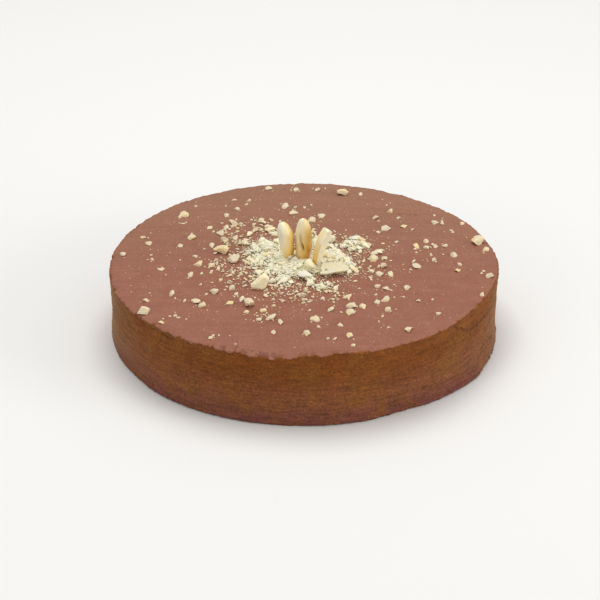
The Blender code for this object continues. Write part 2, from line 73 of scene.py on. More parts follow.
# Where a point's normal leans up or down by more than this, it no longer belongs to the side.
LEVEL = 0.5
MIX_COLOURS = {"data_type": "RGBA"}
MULTIPLY_ADD = {"operation": "MULTIPLY_ADD"}

Rows = np.ndarray
Colour = tuple[float, float, float, float]
# One layer of grain: its strength, the size of its lumps in mm, or along x, y and z, and its seed.
Layer = tuple[float, float | tuple[float, float, float], float]

log = logging.getLogger("cake")


def linear(hex_colour: str) -> Colour:
    """Turns an sRGB hex colour into linear light.

    Args:
        hex_colour: six hex digits after a hash.

    Returns:
        Linear red, green and blue, and an alpha of 1.
    """
    parts = [int(hex_colour[start : start + 2], 16) / 255 for start in (1, 3, 5)]
    red, green, blue = (
        part / 12.92 if part <= 0.04045 else ((part + 0.055) / 1.055) ** 2.4 for part in parts
    )
    return red, green, blue, 1.0


def smooth_step(value: float | Rows) -> float | Rows:
    """Eases a value from 0 to 1 between 0 and 1."""
    value = np.clip(value, 0.0, 1.0)
    return value * value * (3 - 2 * value)


def bell(value: Rows, width: float) -> Rows:
    """1 where the value is 0, and almost nothing at twice the width to each side."""
    return np.exp(-((value / width) ** 2))


def grain(points: Rows, size: float | Sequence[float], seed: float = 0.0) -> Rows:
    """Smooth noise, mostly from -1 to 1.

    Args:
        points: rows of x, y, z in metres.
        size: the size of one lump in metres, or its size along x, y and z.
        seed: moves the pattern elsewhere.

    Returns:
        One value for each row.
    """
    places = (points / np.asarray(size, float) + seed).tolist()
    return NOISE_GAIN * np.fromiter((noise.noise(place) for place in places), float, len(places))


def layered(points: Rows, *layers: Layer, shift: float = 0.0) -> Rows:
    """Grain of several sizes, added up.

    Args:
        points: rows of x, y, z in metres.
        layers: the strength, size in mm and seed of each.
        shift: is added to every seed.

    Returns:
        One value for each row.
    """
    return sum(
        strength * grain(points, np.multiply(size, MM), seed + shift) for strength, size, seed in layers
    )


def edge_layer(strength: float, size: float, seed: float) -> Layer:
    """A layer of grain that runs round the cake and hardly changes with height."""
    return strength, (size, size, 9000), seed


def set_inputs(
    tree: bpy.types.NodeTree, node: bpy.types.Node, inputs: dict[str | int, object]
) -> None:
    """Sets or links a node's inputs.

    Args:
        tree: the material's node tree.
        node: whose inputs they are.
        inputs: for each a value, a hex colour, an output to link, or a node whose first open output
            is linked.
    """
    for name, value in inputs.items():
        if isinstance(value, str):
            value = linear(value)
        if isinstance(value, bpy.types.Node):
            value = next(output for output in value.outputs if output.enabled)
        if isinstance(value, bpy.types.NodeSocket):
            tree.links.new(value, node.inputs[name])
        else:
            node.inputs[name].default_value = value


def add_node(
    tree: bpy.types.NodeTree,
    kind: str,
    settings: dict[str, object] | None = None,
    inputs: dict[str | int, object] | None = None,
    stops: Sequence[tuple[float, str]] = (),
) -> bpy.types.Node:
    """Adds one node with its settings and links.

    Args:
        tree: the material's node tree.
        kind: Blender's name for the node, less the word ShaderNode.
        settings: the node's own properties.
        inputs: its values and links, as set_inputs takes them.
        stops: place and hex colour of each stop, where the node is a colour ramp.

    Returns:
        The new node.
    """
    node = tree.nodes.new(f"ShaderNode{kind}")
    for name, value in (settings or {}).items():
        setattr(node, name, value)
    set_inputs(tree, node, inputs or {})
    for index, (place, colour) in enumerate(stops):
        elements = node.color_ramp.elements
        element = elements[index] if index < 2 else elements.new(place)
        element.position = place
        element.color = linear(colour)
    return node


def new_material(name: str) -> tuple[bpy.types.Material, bpy.types.NodeTree, bpy.types.Node]:
    """Makes an empty Principled material.

    Args:
        name: of the material.

    Returns:
        The material, its tree and its shader.
    """
    material = bpy.data.materials.new(name)
    material.use_nodes = True
    tree = material.node_tree
    return material, tree, tree.nodes["Principled BSDF"]


def add_object(
    name: str, data: bpy.types.ID, place: Sequence[float] = (0, 0, 0), aim: Vector | None = None
) -> bpy.types.Object:
    """Puts an object in the scene.

    Args:
        name: of the object.
        data: its mesh, camera or light.
        place: where it stands, in metres.
        aim: what it looks at, for a camera or a light.

    Returns:
        The new object.
    """
    thing = bpy.data.objects.new(name, data)
    bpy.context.scene.collection.objects.link(thing)
    thing.location = place
    if aim is not None:
        thing.rotation_euler = (aim - Vector(place)).to_track_quat("-Z", "Y").to_euler()
    return thing


@dataclass(frozen=True)
class ChocolateCreamFinish:
    """Chocolate cream of cocoa, nuts and coconut fat, spread cold with a palette knife.

    The eye sees a dry, matte milk chocolate brown, with faint strokes of the knife and a fine grain of
    ground nut. The top is painted lighter and pinker than the side, as a painted sheen of the light on it,
    and the side darker and warmer, as painted shade with warm light thrown onto it.
    """

    # Painted light: the top's colours are lighter and pinker than the side's, for the sheen of light on the
    # top.
    top: str = "#986854"
    top_shade: str = "#885543"
    # Painted reflected light: towards the back the top is painted browner and less pink, for warm light
    # thrown onto it.
    painted_back_light: str = "#936c55"
    back_from: float = -20 * MM
    back_to: float = 115 * MM
    back_most: float = 0.8
    # Painted light and shade: the side is darker and warmer than the top, more orange near the lip for warm
    # light thrown onto it, and darker and more purple at the foot, where less light reaches.
    foot: str = "#6c3d35"
    side_low: str = "#76452d"
    side_high: str = "#703b12"
    # The side has its two colours at these shares of its height, and both wander over this share.
    low_at: float = 0.3
    high_at: float = 0.7
    wander: float = 0.36
    olive: str = "#774a1b"
    olive_from: float = 0.45
    olive_to: float = 0.68
    olive_most: float = 0.7
    # Painted shade: this dark brown is laid in the cracks, pits and deep strokes, under the lip's edge and
    # along the foot.
    painted_shade: str = "#33170d"
    roughness: float = 0.68
    roughness_spread: float = 0.08
    specular: float = 0.12
    # The dry cream is dusted with ground nut, which lightens the side where it is seen at a flat angle.
    dust: str = "#eccf84"
    dust_sheen: float = 0.25
    dust_roughness: float = 0.35
    mottle_size: float = 11 * MM
    patch_size: float = 20 * MM
    # Real strokes and grains are finer than a millimetre: these are coarser, so that they show here.
    stroke_length: float = 15 * MM
    stroke_height: float = 1.4 * MM
    grain_size: float = 1.3 * MM
    # The strokes on the top, turned a little from straight across.
    sweep_length: float = 1000 / 28 * MM
    sweep_width: float = 1000 / 260 * MM
    sweep_turn: float = 0.16
    # How strongly strokes and grain change the colour, on the side and on the top.
    stroke_contrast: tuple[float, float] = (1.35, 0.25)
    grain_contrast: tuple[float, float] = (2.0, 0.8)
    # Strength and depth of their bumps.
    stroke_bump: tuple[float, float] = (0.7, 0.5 * MM)
    grain_bump: tuple[float, float] = (0.5, 0.3 * MM)

    def material(self) -> bpy.types.Material:
        """Builds the material. It reads the paint: share of top, height, and depth of painted shade.

        Returns:
            The material.
        """
        material, tree, shader = new_material("spread_chocolate_cream")
        node = partial(add_node, tree)
        split = node("SeparateColor", inputs={"Color": node("VertexColor", {"layer_name": PAINT})})
        on_top, height, painted_shade = (split.outputs[name] for name in ("Red", "Green", "Blue"))
        place = node("TexCoord").outputs["Object"]
        long, high = 1 / self.stroke_length, 1 / self.stroke_height
        along_side = node("Mapping", inputs={"Vector": place, "Scale": (long, long, high)})
        long, wide = 1 / self.sweep_length, 1 / self.sweep_width
        turned = {"Vector": place, "Rotation": (0, 0, self.sweep_turn), "Scale": (long, wide, long)}
        along_top = node("Mapping", inputs=turned)
        mottle, patch, speck, stroke, sweep = (
            node("TexNoise", inputs={"Vector": at, "Scale": 1 / size, "Detail": fine, "Roughness": rough})
            for at, size, fine, rough in (
                (place, self.mottle_size, 5.0, 0.6),
                (place, self.patch_size, 4.0, 0.65),
                (place, self.grain_size, 3.0, 0.7),
                (along_side, 1.0, 4.0, 0.65),
                (along_top, 1.0, 3.0, 0.5),
            )
        )
        wander = node("Math", MULTIPLY_ADD, {0: mottle, 1: self.wander, 2: -self.wander / 2})
        wandering = node("Math", {"operation": "ADD"}, {0: height, 1: wander})
        stops = (0.0, self.foot), (self.low_at, self.side_low), (self.high_at, self.side_high)
        plain_side = node("ValToRGB", inputs={"Fac": wandering}, stops=stops)
        depth = node("SeparateXYZ", inputs={"Vector": place}).outputs["Y"]
        olive_share, painted_back_share = (
            node("MapRange", inputs={"Value": value, "From Min": low, "From Max": high, "To Max": most})
            for value, low, high, most in (
                (patch, self.olive_from, self.olive_to, self.olive_most),
                (depth, self.back_from, self.back_to, self.back_most),
            )
        )
        side = node("Mix", MIX_COLOURS, {"Factor": olive_share, 6: plain_side, 7: self.olive})
        top = node("Mix", MIX_COLOURS, {"Factor": mottle, 6: self.top_shade, 7: self.top})
        # Painted reflected light on the back of the top.
        top = node("Mix", MIX_COLOURS, {"Factor": painted_back_share, 6: top, 7: self.painted_back_light})
        whole = node("Mix", MIX_COLOURS, {"Factor": on_top, 6: side, 7: top})
        streak = node("Mix", {"data_type": "FLOAT"}, {"Factor": on_top, 2: stroke, 3: sweep})
        levels = []
        for pattern, (low, high) in ((streak, self.stroke_contrast), (speck, self.grain_contrast)):
            contrast = node("MapRange", inputs={"Value": on_top, "To Min": low, "To Max": high})
            raised = node("Math", MULTIPLY_ADD, {0: pattern, 1: contrast, 2: 1.0})
            levels.append(node("Math", MULTIPLY_ADD, {0: contrast, 1: -0.5, 2: raised}))
        level = node("Math", {"operation": "MULTIPLY"}, dict(enumerate(levels)))
        shaded = node("VectorMath", {"operation": "SCALE"}, {0: whole, "Scale": level})
        # Painted shade, mixed in where the paint says.
        colour = node("Mix", MIX_COLOURS, {"Factor": painted_shade, 6: shaded, 7: self.painted_shade})
        low, high = self.roughness - self.roughness_spread, self.roughness + self.roughness_spread
        rough = node("MapRange", inputs={"Value": mottle, "To Min": low, "To Max": high})
        sheen = node("MapRange", inputs={"Value": on_top, "To Min": self.dust_sheen, "To Max": 0.0})
        bump: dict[str, object] = {}
        for pattern, (strength, deep) in ((streak, self.stroke_bump), (speck, self.grain_bump)):
            bump |= {"Height": pattern, "Strength": strength, "Distance": deep}
            bump["Normal"] = node("Bump", inputs=bump)
        dressed = {
            "Base Color": colour,
            "Roughness": rough,
            "Specular IOR Level": self.specular,
            "Sheen Weight": sheen,
            "Sheen Roughness": self.dust_roughness,
            "Sheen Tint": self.dust,
            "Normal": bump["Normal"],
        }
        set_inputs(tree, shader, dressed)
        return material


@dataclass(frozen=True)
class CashewFinish:
    """Raw cashew: a smooth waxy kernel whose broken faces are chalky and paler.

    The eye sees off-white where it is broken, cream on its fair side and tan to golden where it is toasted
    or seen along its skin. On the kernels the pale and tan sides are partly painted light and shade, and
    dark brown is painted shade in hollows.
    """

    name: str = "raw_cashew_kernel"
    broken: str = "#e0dcc7"
    cream: str = "#ede2bc"
    tan: str = "#ead094"
    golden: str = "#e6bd62"
    amber: str = "#c28a3a"
    # Painted shade, laid in the slit, the seam and the pit of a kernel and in the dips of the heap's bed.
    hollow: str = "#6e4a22"
    smooth_roughness: float = 0.38
    broken_roughness: float = 0.72
    mottle_size: float = 3.5 * MM
    # How much the mottling changes the toast.
    mottle: float = 0.3
    grit_size: float = 0.45 * MM
    grit_dark: float = 0.9
    grit_light: float = 1.08
    # Strength of the grit's bump on smooth skin and on a broken face, and its depth.
    grit_bump: tuple[float, float] = (0.12, 0.7)
    grit_depth: float = 0.18 * MM
    glow: float = 0.15
    glow_depth: float = 1.2 * MM
    glow_colour: tuple[float, float, float] = (1.0, 0.7, 0.4)

    def material(self) -> bpy.types.Material:
        """Builds the material. It reads the paint: toast, grit of a broken face, and the painted shade in
        hollows.

        Returns:
            The material.
        """
        material, tree, shader = new_material(self.name)
        node = partial(add_node, tree)
        split = node("SeparateColor", inputs={"Color": node("VertexColor", {"layer_name": PAINT})})
        toast, broken, hollow = (split.outputs[name] for name in ("Red", "Green", "Blue"))
        place = node("TexCoord").outputs["Object"]
        mottle, grit = (
            node("TexNoise", inputs={"Vector": place, "Scale": 1 / size, "Detail": fine, "Roughness": rough})
            for size, fine, rough in ((self.mottle_size, 4.0, 0.6), (self.grit_size, 3.0, 0.7))
        )
        spread = node("Math", MULTIPLY_ADD, {0: mottle, 1: self.mottle, 2: -self.mottle / 2})
        toast = node("Math", {"operation": "ADD", "use_clamp": True}, {0: toast, 1: spread})
        stops = [(0.0, self.broken), (1.0, self.amber)]
        stops += [(0.3, self.cream), (0.55, self.tan), (0.8, self.golden)]
        skin = node("ValToRGB", inputs={"Fac": toast}, stops=stops)
        level, rough, strength = (
            node("MapRange", inputs={"Value": value, "To Min": low, "To Max": high})
            for value, low, high in (
                (grit, self.grit_dark, self.grit_light),
                (broken, self.smooth_roughness, self.broken_roughness),
                (broken, *self.grit_bump),
            )
        )
        shaded = node("VectorMath", {"operation": "SCALE"}, {0: skin, "Scale": level})
        colour = node("Mix", MIX_COLOURS, {"Factor": hollow, 6: shaded, 7: self.hollow})
        bump = {"Height": grit, "Strength": strength, "Distance": self.grit_depth}
        dressed = {
            "Base Color": colour,
            "Roughness": rough,
            "Subsurface Weight": self.glow,
            "Subsurface Radius": self.glow_colour,
            "Subsurface Scale": self.glow_depth,
            "Normal": node("Bump", inputs=bump),
        }
        set_inputs(tree, shader, dressed)
        return material


@dataclass
class Skin:
    """A triangle mesh with the paint that its finish reads.

    Attributes:
        points: rows of x, y, z in metres.
        faces: rows of three point numbers, seen anticlockwise from outside.
        paint: rows of three shares from 0 to 1.
    """

    points: Rows
    faces: Rows
    paint: Rows

    @staticmethod
    def joined(skins: Iterable[Skin]) -> Skin:
        """Puts several skins into one.

        Args:
            skins: at least one.

        Returns:
            The whole, in the same order.
        """
        skins = list(skins)
        starts = np.cumsum([0] + [len(skin.points) for skin in skins[:-1]])
        return Skin(
            np.concatenate([skin.points for skin in skins]),
            np.concatenate([skin.faces + start for skin, start in zip(skins, starts)]),
            np.concatenate([skin.paint for skin in skins]),
        )

    def piece(
        self,
        name: str,
        material: bpy.types.Material,
        slot: str,
        stands_for: Sequence[str],
        sharp_angle: float | None = None,
    ) -> bpy.types.Object:
        """Makes the object and ties it to the frame.

        Args:
            name: the piece's name.
            material: its finish.
            slot: not used.
            stands_for: the CAD nodes that it replaces.
            sharp_angle: edges sharper than this stay crisp, in radians.

        Returns:
            The new object, riding on the cake.
        """
        mesh = bpy.data.meshes.new(name)
        count = len(self.faces)
        mesh.vertices.add(len(self.points))
        mesh.vertices.foreach_set("co", self.points.astype(np.float32).ravel())
        mesh.loops.add(3 * count)
        mesh.loops.foreach_set("vertex_index", self.faces.astype(np.int32).ravel())
        mesh.polygons.add(count)
        mesh.polygons.foreach_set("loop_start", np.arange(0, 3 * count, 3, dtype=np.int32))
        mesh.polygons.foreach_set("use_smooth", np.ones(count, bool))
        mesh.update(calc_edges=True)
        colours = mesh.color_attributes.new(PAINT, "FLOAT_COLOR", "POINT")
        rows = np.ones((len(self.points), 4), np.float32)
        rows[:, :3] = np.clip(self.paint, 0.0, 1.0)
        colours.data.foreach_set("color", rows.ravel())
        if sharp_angle is not None:
            mesh.set_sharp_from_angle(angle=sharp_angle)
        mesh.materials.append(material)
        piece = add_object(name, mesh)
        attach(piece, BODY)
        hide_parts(*stands_for)
        log.info("%s: %d triangles", name, count)
        return piece


@dataclass(frozen=True)
class Span:
    """A stretch, round the cake in degrees or along a crack or slit: its start and end, each eased."""

    start: float
    rise: float
    end: float
    fall: float

    def share(self, place: Rows) -> Rows:
        """0 outside the stretch, and 1 well inside it."""
        begun = smooth_step((place - self.start) / self.rise)
        return begun * smooth_step((self.end - place) / self.fall)


@dataclass(frozen=True)
class Crevice:
    """A crack along the side under the lip, where one stroke of the knife folded over the last.

    It runs between two angles in degrees, and its distance below the lip, width and depth are in mm.
    """

    angle_from: float
    angle_to: float
    below_from: float
    below_to: float
    width: float
    depth: float


@dataclass(frozen=True)
class Scratch:
    """A torn stroke on the top, from one place to another, all in mm."""

    start: tuple[float, float]
    end: tuple[float, float]
    width: float
    depth: float


@dataclass
class CreamCoat:
    """The coated cake: a turned form, made as uneven as cream spread by hand.

    Sizes of the turned form are in metres. Depths and sizes of its relief are in mm.
    """

    radius: float = 122.5 * MM
    height: float = 48.0 * MM
    flat_top: float = 60.0 * MM
    lip_fall: float = 1.6 * MM
    lip_edge: float = 1.1 * MM
    waist: float = 0.9 * MM
    foot_round: float = 1.2 * MM
    # Points round the edge and the side, then the rings: points, first, end and step in mm on the top.
    around: int = 720
    top_rings: tuple[tuple[int, float, float, float], ...] = (
        (90, 3.0, 22.0, 4.0),
        (360, 24.0, 104.0, 2.2),
        (720, 105.0, 121.1, 0.85),
    )
    lip_rings: int = 8
    side_rings: int = 79
    foot_rings: int = 3
    base_inset: float = 6.0 * MM
    # How soon the side's relief has its full strength where the edge turns down.
    side_ease: float = 1.4
    lip_zone: float = 0.84
    lip_full: float = 0.98
    lip_reach: float = 29.0 * MM
    lip_from: float = 43.0 * MM
    droop: float = 2.2 * MM
    droop_angle: float = math.radians(-9)
    droop_half_width: float = math.radians(13)
    lift: float = 1.1 * MM
    lift_angle: float = math.radians(11)
    lift_half_width: float = math.radians(10)
    lip_wave: float = 0.35 * MM
    wave_counts: tuple[int, ...] = (5, 8, 13, 19)
    front_rise: float = 0.8 * MM
    side_wave: float = 0.3 * MM
    # Lumps of that wave: in one radius round the side, and in one metre up it.
    side_lumps: float = 6.0
    side_lumps_up: float = 90.0
    shoulder: float = 2.6 * MM
    shoulder_angle: float = math.radians(63)
    shoulder_half_width: float = math.radians(27)
    shoulder_low: float = 36.0 * MM
    shoulder_high: float = 44.0 * MM
    # Where the foot stands in or out: angle and half width in degrees, and how far out.
    foot_bulges: tuple[tuple[float, float, float], ...] = (
        (29, 15, -2.2 * MM),
        (58, 12, 1.6 * MM),
        (-62, 25, -1.3 * MM),
    )
    foot_reach: float = 22.0 * MM
    foot_inward: float = 2.0 * MM
    # The ragged edge reaches this far down the side, and in over the top with an eased border.
    edge_down: float = 1.5
    edge_in: float = 4.0 * MM
    edge_ease: float = 3.2 * MM
    ragged: tuple[Layer, ...] = (
        edge_layer(0.30, 11, 1.3),
        edge_layer(0.32, 3.8, 5.9),
        edge_layer(0.26, 1.8, 9.2),
    )
    # Deeper notches where this grain passes its limit.
    notches: Layer = edge_layer(1.0, 5, 21.0)
    notch_limit: float = 0.45
    notch_depth: float = 1.6
    teeth: Layer = edge_layer(0.22, 2.4, 14.0)
    # How much of the raggedness also goes up and down.
    ragged_up: float = 0.7
    # The edge is calm at the right, torn most at the front left, and calm again round the back.
    calm_right: Span = Span(5, 20, 100, 20)
    calm_by: float = 0.6
    torn_left: Span = Span(-72, 32, -8, 12)
    torn_by: float = 0.9
    back_from: float = 68.0
    back_ease: float = 22.0
    back_by: float = 0.5
    # At the front left the edge hangs over the side, with a groove under it.
    overhang: Span = Span(-78, 14, -12, 14)
    overhang_out: float = 0.35
    groove_depth: float = 0.3
    groove_below: float = 3.6
    groove_width: float = 2.0
    strokes: tuple[Layer, ...] = ((0.14, (26, 26, 2.2), 2.0), (0.11, (10, 10, 1.2), 4.0))
    # Patches where the knife tore the side's cream. At the right all of it below this share is torn.
    torn_patches: Layer = (0.9, (24, 24, 10), 8.0)
    torn_bias: float = 0.25
    torn_right: Span = Span(8, 25, 80, 15)
    torn_below: float = 0.8
    torn_coarse: Layer = (0.18, (2.6, 2.6, 1.5), 6.0)
    torn_fine: Layer = (0.13, 1.5, 16.0)
    # The slanted shoulder ends in a flap of cream: its place, drop below the lip, edge and thickness.
    flap: Span = Span(44, 12, 99, 20)
    flap_drop: float = 9.8
    flap_edge: Layer = edge_layer(0.7, 5, 51.0)
    flap_thickness: float = 0.7
    flap_fade: float = 4.0
    flap_lip: float = 0.8
    flap_start: float = 0.3
    crease_depth: float = 0.55
    crease_width: float = 1.2
    crease_below: float = 0.4
    crevices: tuple[Crevice, ...] = (
        Crevice(-49, -33, 3.0, 4.2, 0.5, 0.8),
        Crevice(-38, -26, 6.0, 6.8, 0.5, 0.6),
        Crevice(-64, -46, 2.2, 3.2, 0.5, 0.5),
        Crevice(-31, -12, 4.2, 4.8, 0.5, 0.4),
        Crevice(-20, 8, 15.0, 16.5, 0.5, 0.3),
        Crevice(12, 30, 4.5, 4.0, 0.5, 0.4),
        Crevice(20, 44, 10.0, 8.5, 0.5, 0.35),
    )
    # The cracks come and go along their length, fade at both ends, and wander up and down.
    crack_breaks: Layer = edge_layer(1.0, 5, 31.0)
    crack_share: float = 0.6
    crack_ends: float = 0.25
    crack_wander: tuple[Layer, ...] = ((0.4, 6, 11.0), (0.3, 2, 12.0))
    foot_zone: float = 2.0
    ragged_foot: tuple[Layer, ...] = (edge_layer(0.30, 2.2, 17.0), edge_layer(0.20, 7, 19.0))
    ragged_foot_right: float = 0.8
    top_strokes: tuple[Layer, ...] = ((0.16, (34, 20, 1000), 3.1), (0.05, (14, 5, 1000), 7.7))
    scratches: tuple[Scratch, ...] = (
        Scratch((55, 73), (64, 70), 0.8, 0.35),
        Scratch((66, 71), (75, 69), 0.8, 0.4),
        Scratch((-62, 78), (-48, 82), 0.8, 0.2),
        Scratch((98, 52), (106, 50), 0.9, 0.35),
    )
    # Small pits that the knife tore in the top's front edge: angles, distances from the rim, radii, depths.
    pit_count: int = 36
    pit_seed: int = 3
    pit_angles: tuple[float, float] = (-20, -7)
    pit_insets: tuple[float, float] = (1.2, 5.5)
    pit_sizes: tuple[float, float] = (0.5, 1.0)
    pit_depths: tuple[float, float] = (0.15, 0.4)
    pit_facing: float = 0.3
    # The line where the top's colour ends: how far below the lip, its wandering and its softness.
    border: tuple[Layer, ...] = (edge_layer(0.6, 4.3, 41.0), edge_layer(0.45, 1.6, 43.0))
    border_below: float = 0.2
    border_overhang: float = 0.6
    border_soft: float = 0.5
    # The shaded line just under it: its distance, width, strength, and added strength at the overhang.
    shelter: tuple[float, float, float, float] = (0.9, 0.7, 0.1, 0.2)
    # How strongly shade is painted in the hollows and along the foot, and how deep relief has to be before it
    # is.
    crack_shade: float = 0.7
    pit_shade: float = 1.6
    foot_shade: float = 0.35
    foot_shade_zone: float = 0.9
    stroke_limit: float = 0.1
    top_limit: float = 0.25

    def swell(self, angle: Rows, centre: float, half_width: float) -> Rows:
        """1 at the centre angle, falling smoothly to 0 at half_width to each side."""
        away = np.abs((angle - centre + math.pi) % math.tau - math.pi) / half_width
        return np.cos(np.minimum(away, 1.0) * math.pi / 2) ** 2

    def lip_lift(self, angle: Rows) -> Rows:
        """How far the lip stands above its usual height.

        Args:
            angle: places round the cake, in radians.

        Returns:
            The lift at each, in metres.
        """
        wave = sum(np.sin(count * angle + count) / count for count in self.wave_counts)
        droop = self.droop * self.swell(angle, self.droop_angle, self.droop_half_width)
        lift = self.lift * self.swell(angle, self.lift_angle, self.lift_half_width)
        return self.lip_wave * wave - droop + lift + self.front_rise * np.cos(angle / 2) ** 2

    def lip_share(self, radius: Rows) -> Rows:
        """How much of the lip's lift a place at this radius takes."""
        return smooth_step((radius / self.radius - self.lip_zone) / (self.lip_full - self.lip_zone))

    def turned_height(self, radius: Rows) -> Rows:
        """Height of the top before it is made uneven."""
        outward = np.maximum(radius - self.flat_top, 0.0) / (self.radius - self.flat_top)
        return self.height - self.lip_fall * outward**3

    def relief_on_top(self, points: Rows) -> Rows:
        """The relief of the top: broad strokes of the knife, and the torn ones.

        Args:
            points: rows of x, y, z in metres.

        Returns:
            The height of the relief at each, in metres.
        """
        flat = points * (1.0, 1.0, 0.0)
        relief = layered(flat, *self.top_strokes)
        for scratch in self.scratches:
            start, end = np.array(scratch.start) * MM, np.array(scratch.end) * MM
            along = end - start
            share = np.clip((flat[:, :2] - start) @ along / (along @ along), 0.0, 1.0)
            away = np.linalg.norm(flat[:, :2] - start - share[:, None] * along, axis=1) / MM
            relief = relief - scratch.depth * bell(away, scratch.width)
        return relief * MM

    def height_at(self, x: Rows | float, y: Rows | float) -> Rows:
        """Height of the cream on the top, relief included.

        Args:
            x: of the places, in metres.
            y: of the places, in metres.

        Returns:
            The height at each, in metres.
        """
        x, y = np.atleast_1d(x).astype(float), np.atleast_1d(y).astype(float)
        radius = np.hypot(x, y)
        lift = self.lip_share(radius) * self.lip_lift(np.arctan2(x, -y))
        points = np.stack([x, y, np.zeros_like(x)], axis=1)
        return self.turned_height(radius) + lift + self.relief_on_top(points)

    def stations(self) -> list[tuple[int, float, float, float, float]]:
        """The turned outline, from the middle of the top round to the middle of the base.

        Returns:
            For each ring its number of points, radius, height, and the outward normal's two parts.
        """
        found: list[tuple[int, float, float, float, float]] = []
        for count, start, stop, step in self.top_rings:
            for radius in np.arange(start, stop, step) * MM:
                found.append((count, radius, float(self.turned_height(radius)), 0.0, 1.0))
        rim = self.radius - self.lip_edge
        lip_centre = self.height - self.lip_fall - self.lip_edge
        for step in range(self.lip_rings + 1):
            turn = math.pi / 2 * step / self.lip_rings
            out, up = math.sin(turn), math.cos(turn)
            found.append((self.around, rim + self.lip_edge * out, lip_centre + self.lip_edge * up, out, up))
        for height in np.linspace(lip_centre, self.foot_round, self.side_rings)[1:]:
            belly = self.waist * math.sin(math.pi * height / lip_centre)
            found.append((self.around, self.radius - belly, float(height), 1.0, 0.0))
        for step in range(1, self.foot_rings + 1):
            turn = math.pi / 2 * step / self.foot_rings
            inward = self.foot_round * (1 - math.cos(turn))
            low = self.foot_round * (1 - math.sin(turn))
            found.append((self.around, self.radius - inward, low, math.cos(turn), -math.sin(turn)))
        found.append((self.around // 2, self.radius - self.base_inset, 0.0, 0.0, -1.0))
        found.append((self.around // 8, self.radius / 3, 0.0, 0.0, -1.0))
        return found

    @staticmethod
    def stitched(start: int, count: int, below: int, below_count: int) -> list[tuple[int, int, int]]:
        """Triangles between two rings, of which one may hold more points.

        Args:
            start: number of the first point of the ring above or inside.
            count: how many points it has.
            below: number of the first point of the ring below or outside.
            below_count: how many points that has.

        Returns:
            Triples of point numbers.
        """
        faces = []
        above_step = below_step = 0
        while above_step < count or below_step < below_count:
            here = start + above_step % count
            there = below + below_step % below_count
            if (below_step + 1) * count <= (above_step + 1) * below_count and below_step < below_count:
                below_step += 1
                faces.append((here, there, below + below_step % below_count))
            else:
                above_step += 1
                faces.append((here, there, start + above_step % count))
        return faces

    def skin(self) -> Skin:
        """Builds the mesh and paints its top, its height and its crevices.

        Returns:
            The whole coat.
        """
        rows, faces = [np.array([[0.0, 0.0, self.height, 0.0, 1.0]])], []
        start, previous = 1, (0, 1)
        for count, *values in self.stations():
            angle = np.arange(count) / count * math.tau
            rows.append(np.stack([angle, *(np.full(count, value) for value in values)], axis=1))
            if previous[1] == 1:
                faces += [(0, start + i, start + (i + 1) % count) for i in range(count)]
            else:
                faces += self.stitched(*previous, start, count)
            previous = (start, count)
            start += count
        last, count = previous
        faces += [(last + i, start, last + (i + 1) % count) for i in range(count)]
        rows.append(np.array([[0.0, 0.0, 0.0, 0.0, -1.0]]))
        points, paint = self.spread(*np.concatenate(rows).T)
        return Skin(points, np.array(faces), paint)

    def spread(self, angle: Rows, radius: Rows, height: Rows, out: Rows, up: Rows) -> tuple[Rows, Rows]:
        """Makes the turned form uneven.

        Args:
            angle: of each point round the cake.
            radius: of each point.
            height: of each point.
            out: the outward part of its normal.
            up: the upward part.

        Returns:
            The points, and their paint.
        """
        round_x, round_y = np.sin(angle), -np.cos(angle)
        ring = np.stack([self.radius * round_x, self.radius * round_y, height], axis=1)
        place = np.stack([radius * round_x, radius * round_y, height], axis=1)
        degrees = np.degrees((angle + math.pi) % math.tau - math.pi)
        below = (self.height - self.lip_fall - height) / MM
        on_side = smooth_step(out * self.side_ease) * (up > -LEVEL)
        near_lip = bell(np.maximum(below, 0.0), self.edge_down)
        near_lip *= smooth_step((radius - self.radius + self.edge_in) / self.edge_ease)

        # The broad form: waves, the lip's lift, the slanted shoulder and the foot's bulges.
        up_side = self.side_lumps_up * height
        waves = np.stack([self.side_lumps * np.cos(angle), self.side_lumps * np.sin(angle), up_side], axis=1)
        outward = self.side_wave * grain(waves, 1.0) * on_side
        rise = self.lip_share(radius) * self.lip_lift(angle)
        rise *= smooth_step((height - self.lip_reach) / (self.lip_from - self.lip_reach))
        slant = np.clip((height - self.shoulder_low) / (self.shoulder_high - self.shoulder_low), 0, 1)
        slant *= self.swell(angle, self.shoulder_angle, self.shoulder_half_width)
        outward -= self.shoulder * slant * self.lip_share(radius)
        low = smooth_step((self.foot_reach - height) / self.foot_reach)
        low *= radius > self.radius - self.foot_inward
        for at, half_width, out_by in self.foot_bulges:
            outward += out_by * low * self.swell(angle, math.radians(at), math.radians(half_width))

        # The ragged edge, and its overhang at the front left.
        calm = 1 - self.calm_by * self.calm_right.share(degrees)
        calm += self.torn_by * self.torn_left.share(degrees)
        calm -= self.back_by * smooth_step((np.abs(degrees) - self.back_from) / self.back_ease)
        notch = np.maximum(layered(ring, self.notches) - self.notch_limit, 0.0)
        ragged = (layered(ring, *self.ragged) - self.notch_depth * notch) * calm
        outward += ragged * near_lip * MM
        rise += (self.ragged_up * ragged + layered(ring, self.teeth) * calm) * near_lip * MM
        overhang = self.overhang.share(degrees)
        outward += self.overhang_out * overhang * near_lip * MM
        groove = bell(below - self.groove_below, self.groove_width)
        outward -= self.groove_depth * overhang * groove * on_side * MM

        # The strokes of the knife, and the torn patches.
        torn = smooth_step(layered(place, self.torn_patches) + self.torn_bias)
        torn += self.torn_right.share(degrees) * (height < self.torn_below * self.height)
        strokes = layered(place, *self.strokes) + torn * layered(place, self.torn_coarse, self.torn_fine)
        outward += strokes * on_side * MM

